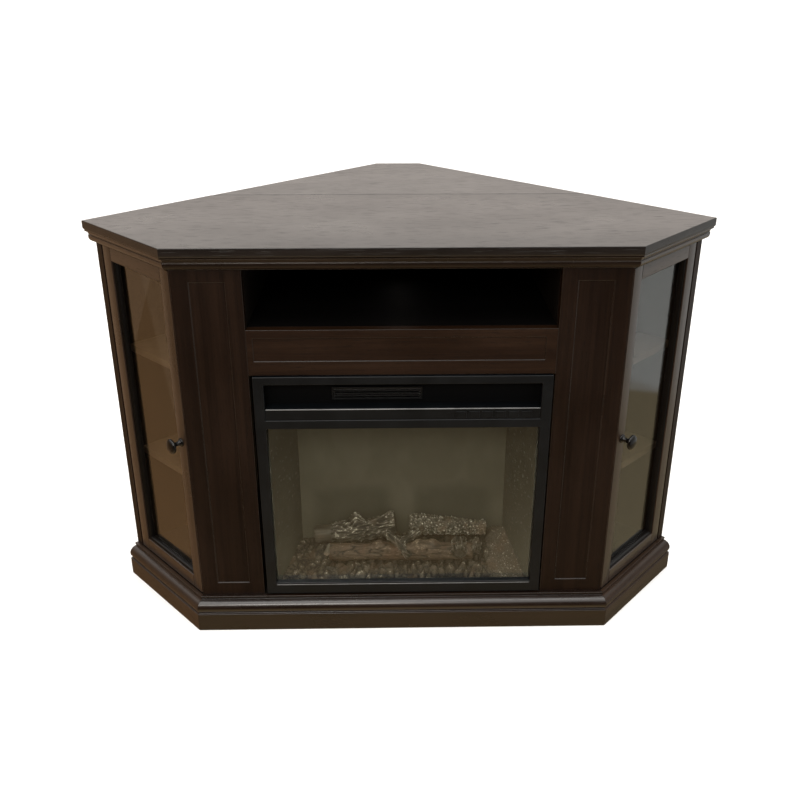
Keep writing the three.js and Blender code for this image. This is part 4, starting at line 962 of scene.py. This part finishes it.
def log_ring(centre, axes, radius, along, length, log):
    """One ring of a log's vertices, with the relief of each."""
    across, up = axes
    around = log["around"]
    edge = 1 - 0.10 * (smooth(along, 4, 0) + smooth(length - along, 4, 0))
    points, relief = [], []
    for k in range(around):
        angle = 2 * math.pi * k / around
        ring = Vector((math.cos(angle), math.sin(angle), 0))
        slow = noise.noise(Vector((along / 45, ring.x * 1.1, ring.y * 1.1 + log["seed"])))
        style = "smooth" if along < log["bare"] else log["style"]
        height, shade = bark(along, ring * radius, log["seed"], style)
        reach = radius * edge * (1 + 0.16 * slow) + height - 3.0
        for share, at, width, rise in log["knots"]:
            apart = math.hypot(share * length - along, (angle - math.radians(at)) * radius)
            lift = math.exp(-(apart / width) ** 2)
            reach += rise * lift
            # Raised knots also get a lighter relief: painted light on knots that face away from the lamps.
            shade += 0.014 * max(rise, 0.0) * lift
        points.append(centre + across * ring.x * reach + up * ring.y * reach)
        relief.append(min(max(shade, 0.0), 1.0))
    return points, relief


def log_cap(rim, centre, inward):
    """Rings that close a sawn end, sunk a little below its rim."""
    points, relief = [], []
    for share, sink, shade in ((0.86, 0.8, 0.35), (0.6, 1.4, 0.6), (0.3, 1.0, 0.45)):
        for spot in rim:
            place = centre + (spot - centre) * share
            points.append(place + inward * (sink + noise.noise(place / 2.0) * 0.5))
            relief.append(shade + 0.2 * noise.noise(place / 3.0))
    return points, relief


def add_log(name, start, end, radii, seed, style="ridges", knots=(), material="log", replaces=(),
            bend=0.0, bare=0.0):
    """A log between two places in millimetres: x from the insert's middle, depth into the hearth
    and height over the insert's bottom. A knot has a share of the length, an angle, a width and
    a rise; the first stretch can be bare of bark."""
    begin, finish = Vector(start), Vector(end)
    length = (finish - begin).length
    axis = (finish - begin).normalized()
    across = axis.cross(Vector((0, 0, 1))).normalized()
    up = across.cross(axis).normalized()
    around = max(30, int(2 * math.pi * max(radii) / LOG_STEP_ROUND))
    steps = max(12, int(length / LOG_STEP_ALONG))
    log = {"around": around, "seed": seed, "style": style, "knots": knots, "bare": bare}
    vertices, relief = [], []
    for i in range(steps + 1):
        share = i / steps
        radius = radii[0] + (radii[1] - radii[0]) * share
        centre = begin + axis * length * share + up * math.sin(math.pi * share) * bend
        points, shades = log_ring(centre, (across, up), radius, share * length, length, log)
        vertices += points
        relief += shades
    faces = ring_faces(steps + 1, around)
    for ring_start, place, inward in ((0, begin, axis), (steps * around, finish, -axis)):
        rings = [ring_start] + [len(vertices) + k * around for k in range(3)]
        points, shades = log_cap(vertices[ring_start:ring_start + around], place, inward)
        vertices += points
        relief += shades
        for a, b in zip(rings, rings[1:]):
            faces += [(a + k, a + (k + 1) % around, b + (k + 1) % around, b + k) for k in range(around)]
        faces.append(tuple(rings[-1] + k for k in range(around)))
    placed = [(INSERT_MIDDLE + v.x * MM, HEARTH_FRONT + v.y * MM, INSERT_FLOOR + v.z * MM)
              for v in vertices]
    make_piece(name, placed, faces, MATERIALS[material], "cabinet", True, replaces, relief)


def add_logs():
    add_log("log_left_bark", (-185, 82, 76), (-15, 82, 100), (20, 21), 3.1, "ridges",
            [(0.53, 100, 13, 25), (0.96, 88, 19, 10), (0.66, 90, 10, -5), (0.30, 60, 9, 4),
             (0.7, -40, 12, 6)],
            replaces=["log_left"], bend=-5, bare=36)
    add_log("log_right_bark", (176, 84, 85), (13, 84, 96), (14, 20), 7.7, "cells",
            [(0.80, 95, 20, 5), (0.05, 90, 12, 3)], material="pale_log", replaces=["log_right"], bend=1)
    add_log("log_front_bark", (-153, 46, 56), (146, 46, 56), (17, 17), 5.2, "worn",
            [(0.34, 95, 10, 9), (0.40, 60, 8, 7), (0.62, 80, 14, 11), (0.72, 85, 14, 10), (0.9, 70, 10, 7)],
            material="front_log")
    add_log("stick_cross", (-34, 62, 92), (16, 28, 56), (8, 9), 1.3)
    add_log("stick_short", (-4, 50, 74), (36, 66, 90), (8, 7), 2.2)
    add_log("stub_round", (120, 62, 72), (116, 24, 64), (15, 16), 4.4)
    add_log("stub_right", (156, 60, 72), (152, 30, 66), (9, 9), 8.1)
    add_log("stub_left", (-152, 56, 66), (-159, 28, 64), (7.5, 7.5), 6.6, "smooth", material="cut")


# ---------------------------------------------------------------- lips of the insert
def add_lip(name, span, y, z, radius, material):
    """A rolled edge: a round bar that runs along x, its ends closed."""
    segments = 12
    start, end = span
    vertices = []
    for x, size in ((start, 0.6), (start + radius * 0.5, 1), (end - radius * 0.5, 1), (end, 0.6)):
        for k in range(segments):
            angle = 2 * math.pi * k / segments
            vertices.append((x, y + radius * size * math.cos(angle), z + radius * size * math.sin(angle)))
    faces = ring_faces(4, segments)
    faces += [tuple(range(segments)), tuple(range(3 * segments, 4 * segments))]
    make_piece(name, vertices, faces, MATERIALS[material], "cabinet")


SLOT_LIP = 1.1 * MM
SILL_LIP = 0.8 * MM
SILL_LIP_RISE = 1.5 * MM
SLOT_LIP_BACK = 0.8 * MM
SILL_LIP_BACK = 0.3 * MM
SLOT_LIP_ENDS = 0.5 * MM
SILL_LIP_ENDS = 7 * MM


def add_lips():
    """Rolled edges coloured light grey under the warm air slot and along the sill of the window: painted
    highlights on those edges.
    """
    panel_low, panel_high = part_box("control_panel")
    pane_low, pane_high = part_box("firebox_glass")
    bezel_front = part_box("firebox_bezel")[0].y
    slot = (panel_low.x + SLOT_LIP_ENDS, panel_high.x - SLOT_LIP_ENDS)
    add_lip("slot_lip", slot, panel_low.y + SLOT_LIP_BACK, SLOT_FLOOR, SLOT_LIP,
            "lip")
    window = (pane_low.x + SILL_LIP_ENDS, pane_high.x - SILL_LIP_ENDS)
    add_lip("sill_lip", window, bezel_front + SILL_LIP_BACK, pane_low.z + SILL_LIP_RISE, SILL_LIP,
            "lip")


# ---------------------------------------------------------------- brick side walls, in millimetres
COURSE = 45.0
JOINT = 3.4
JOINT_DEEP = 1.0
JOINTS_FADE = (40, 100)
RIGHT_JOINTS = 0.2
WALL_MARGIN = 1.5 * MM
WALL_CLEAR = 0.5 * MM
WALL_PROUD = 0.6 * MM


def course_relief(depth, height, side):
    """How far a brick wall stands out in millimetres, and its relief. Shallow joints lie between the
    courses, fade into the hearth and hardly show on the right; their relief is lighter, a painted highlight
    where the course edges catch light."""
    edge = min(height % COURSE, COURSE - height % COURSE)
    shows = (1 - smooth(depth, *JOINTS_FADE)) * (1.0 if side < 0 else RIGHT_JOINTS)
    joint = (1 - smooth(edge, JOINT * 0.2, JOINT * 0.5)) * shows
    rough = noise.noise(Vector((depth / 6, height / 6, side * 5)))
    # The joints get a lighter relief: a painted highlight along the course edges.
    return rough * 0.25 - joint * JOINT_DEEP, 0.42 + 0.40 * joint + 0.10 * rough


def add_brick_wall(name, side):
    """The face of a hearth side as a fine grid, just in front of the liner."""
    low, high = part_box("hearth_liner")
    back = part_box("flame_screen")[0].y - WALL_CLEAR
    front = HEARTH_FRONT + WALL_CLEAR
    rise = high.z - low.z - 2 * WALL_MARGIN
    columns, rows = 70, 240
    vertices, relief = [], []
    for row in range(rows + 1):
        z = low.z + WALL_MARGIN + rise * row / rows
        for column in range(columns + 1):
            y = front + (back - front) * column / columns
            out, shade = course_relief((y - front) / MM, (z - low.z) / MM, side)
            inner = hearth_half(y) + WALL_PROUD - out * MM
            vertices.append((INSERT_MIDDLE + side * inner, y, z))
            relief.append(shade)
    make_piece(f"brick_wall_{name}", vertices, ring_faces(rows + 1, columns + 1, False),
               MATERIALS["brick"], "cabinet", True, (), relief)


# ---------------------------------------------------------------- making
add_camera()
dress_nodes()
add_top()
for side_name, side_sign in SIDES:
    add_door(side_name, side_sign)
add_ember_bed()
add_logs()
add_lips()
for side_name, side_sign in SIDES:
    add_brick_wall(side_name, side_sign)
add_floor()
add_world()
add_lamps()
bpy.context.scene.view_settings.view_transform = "Standard"
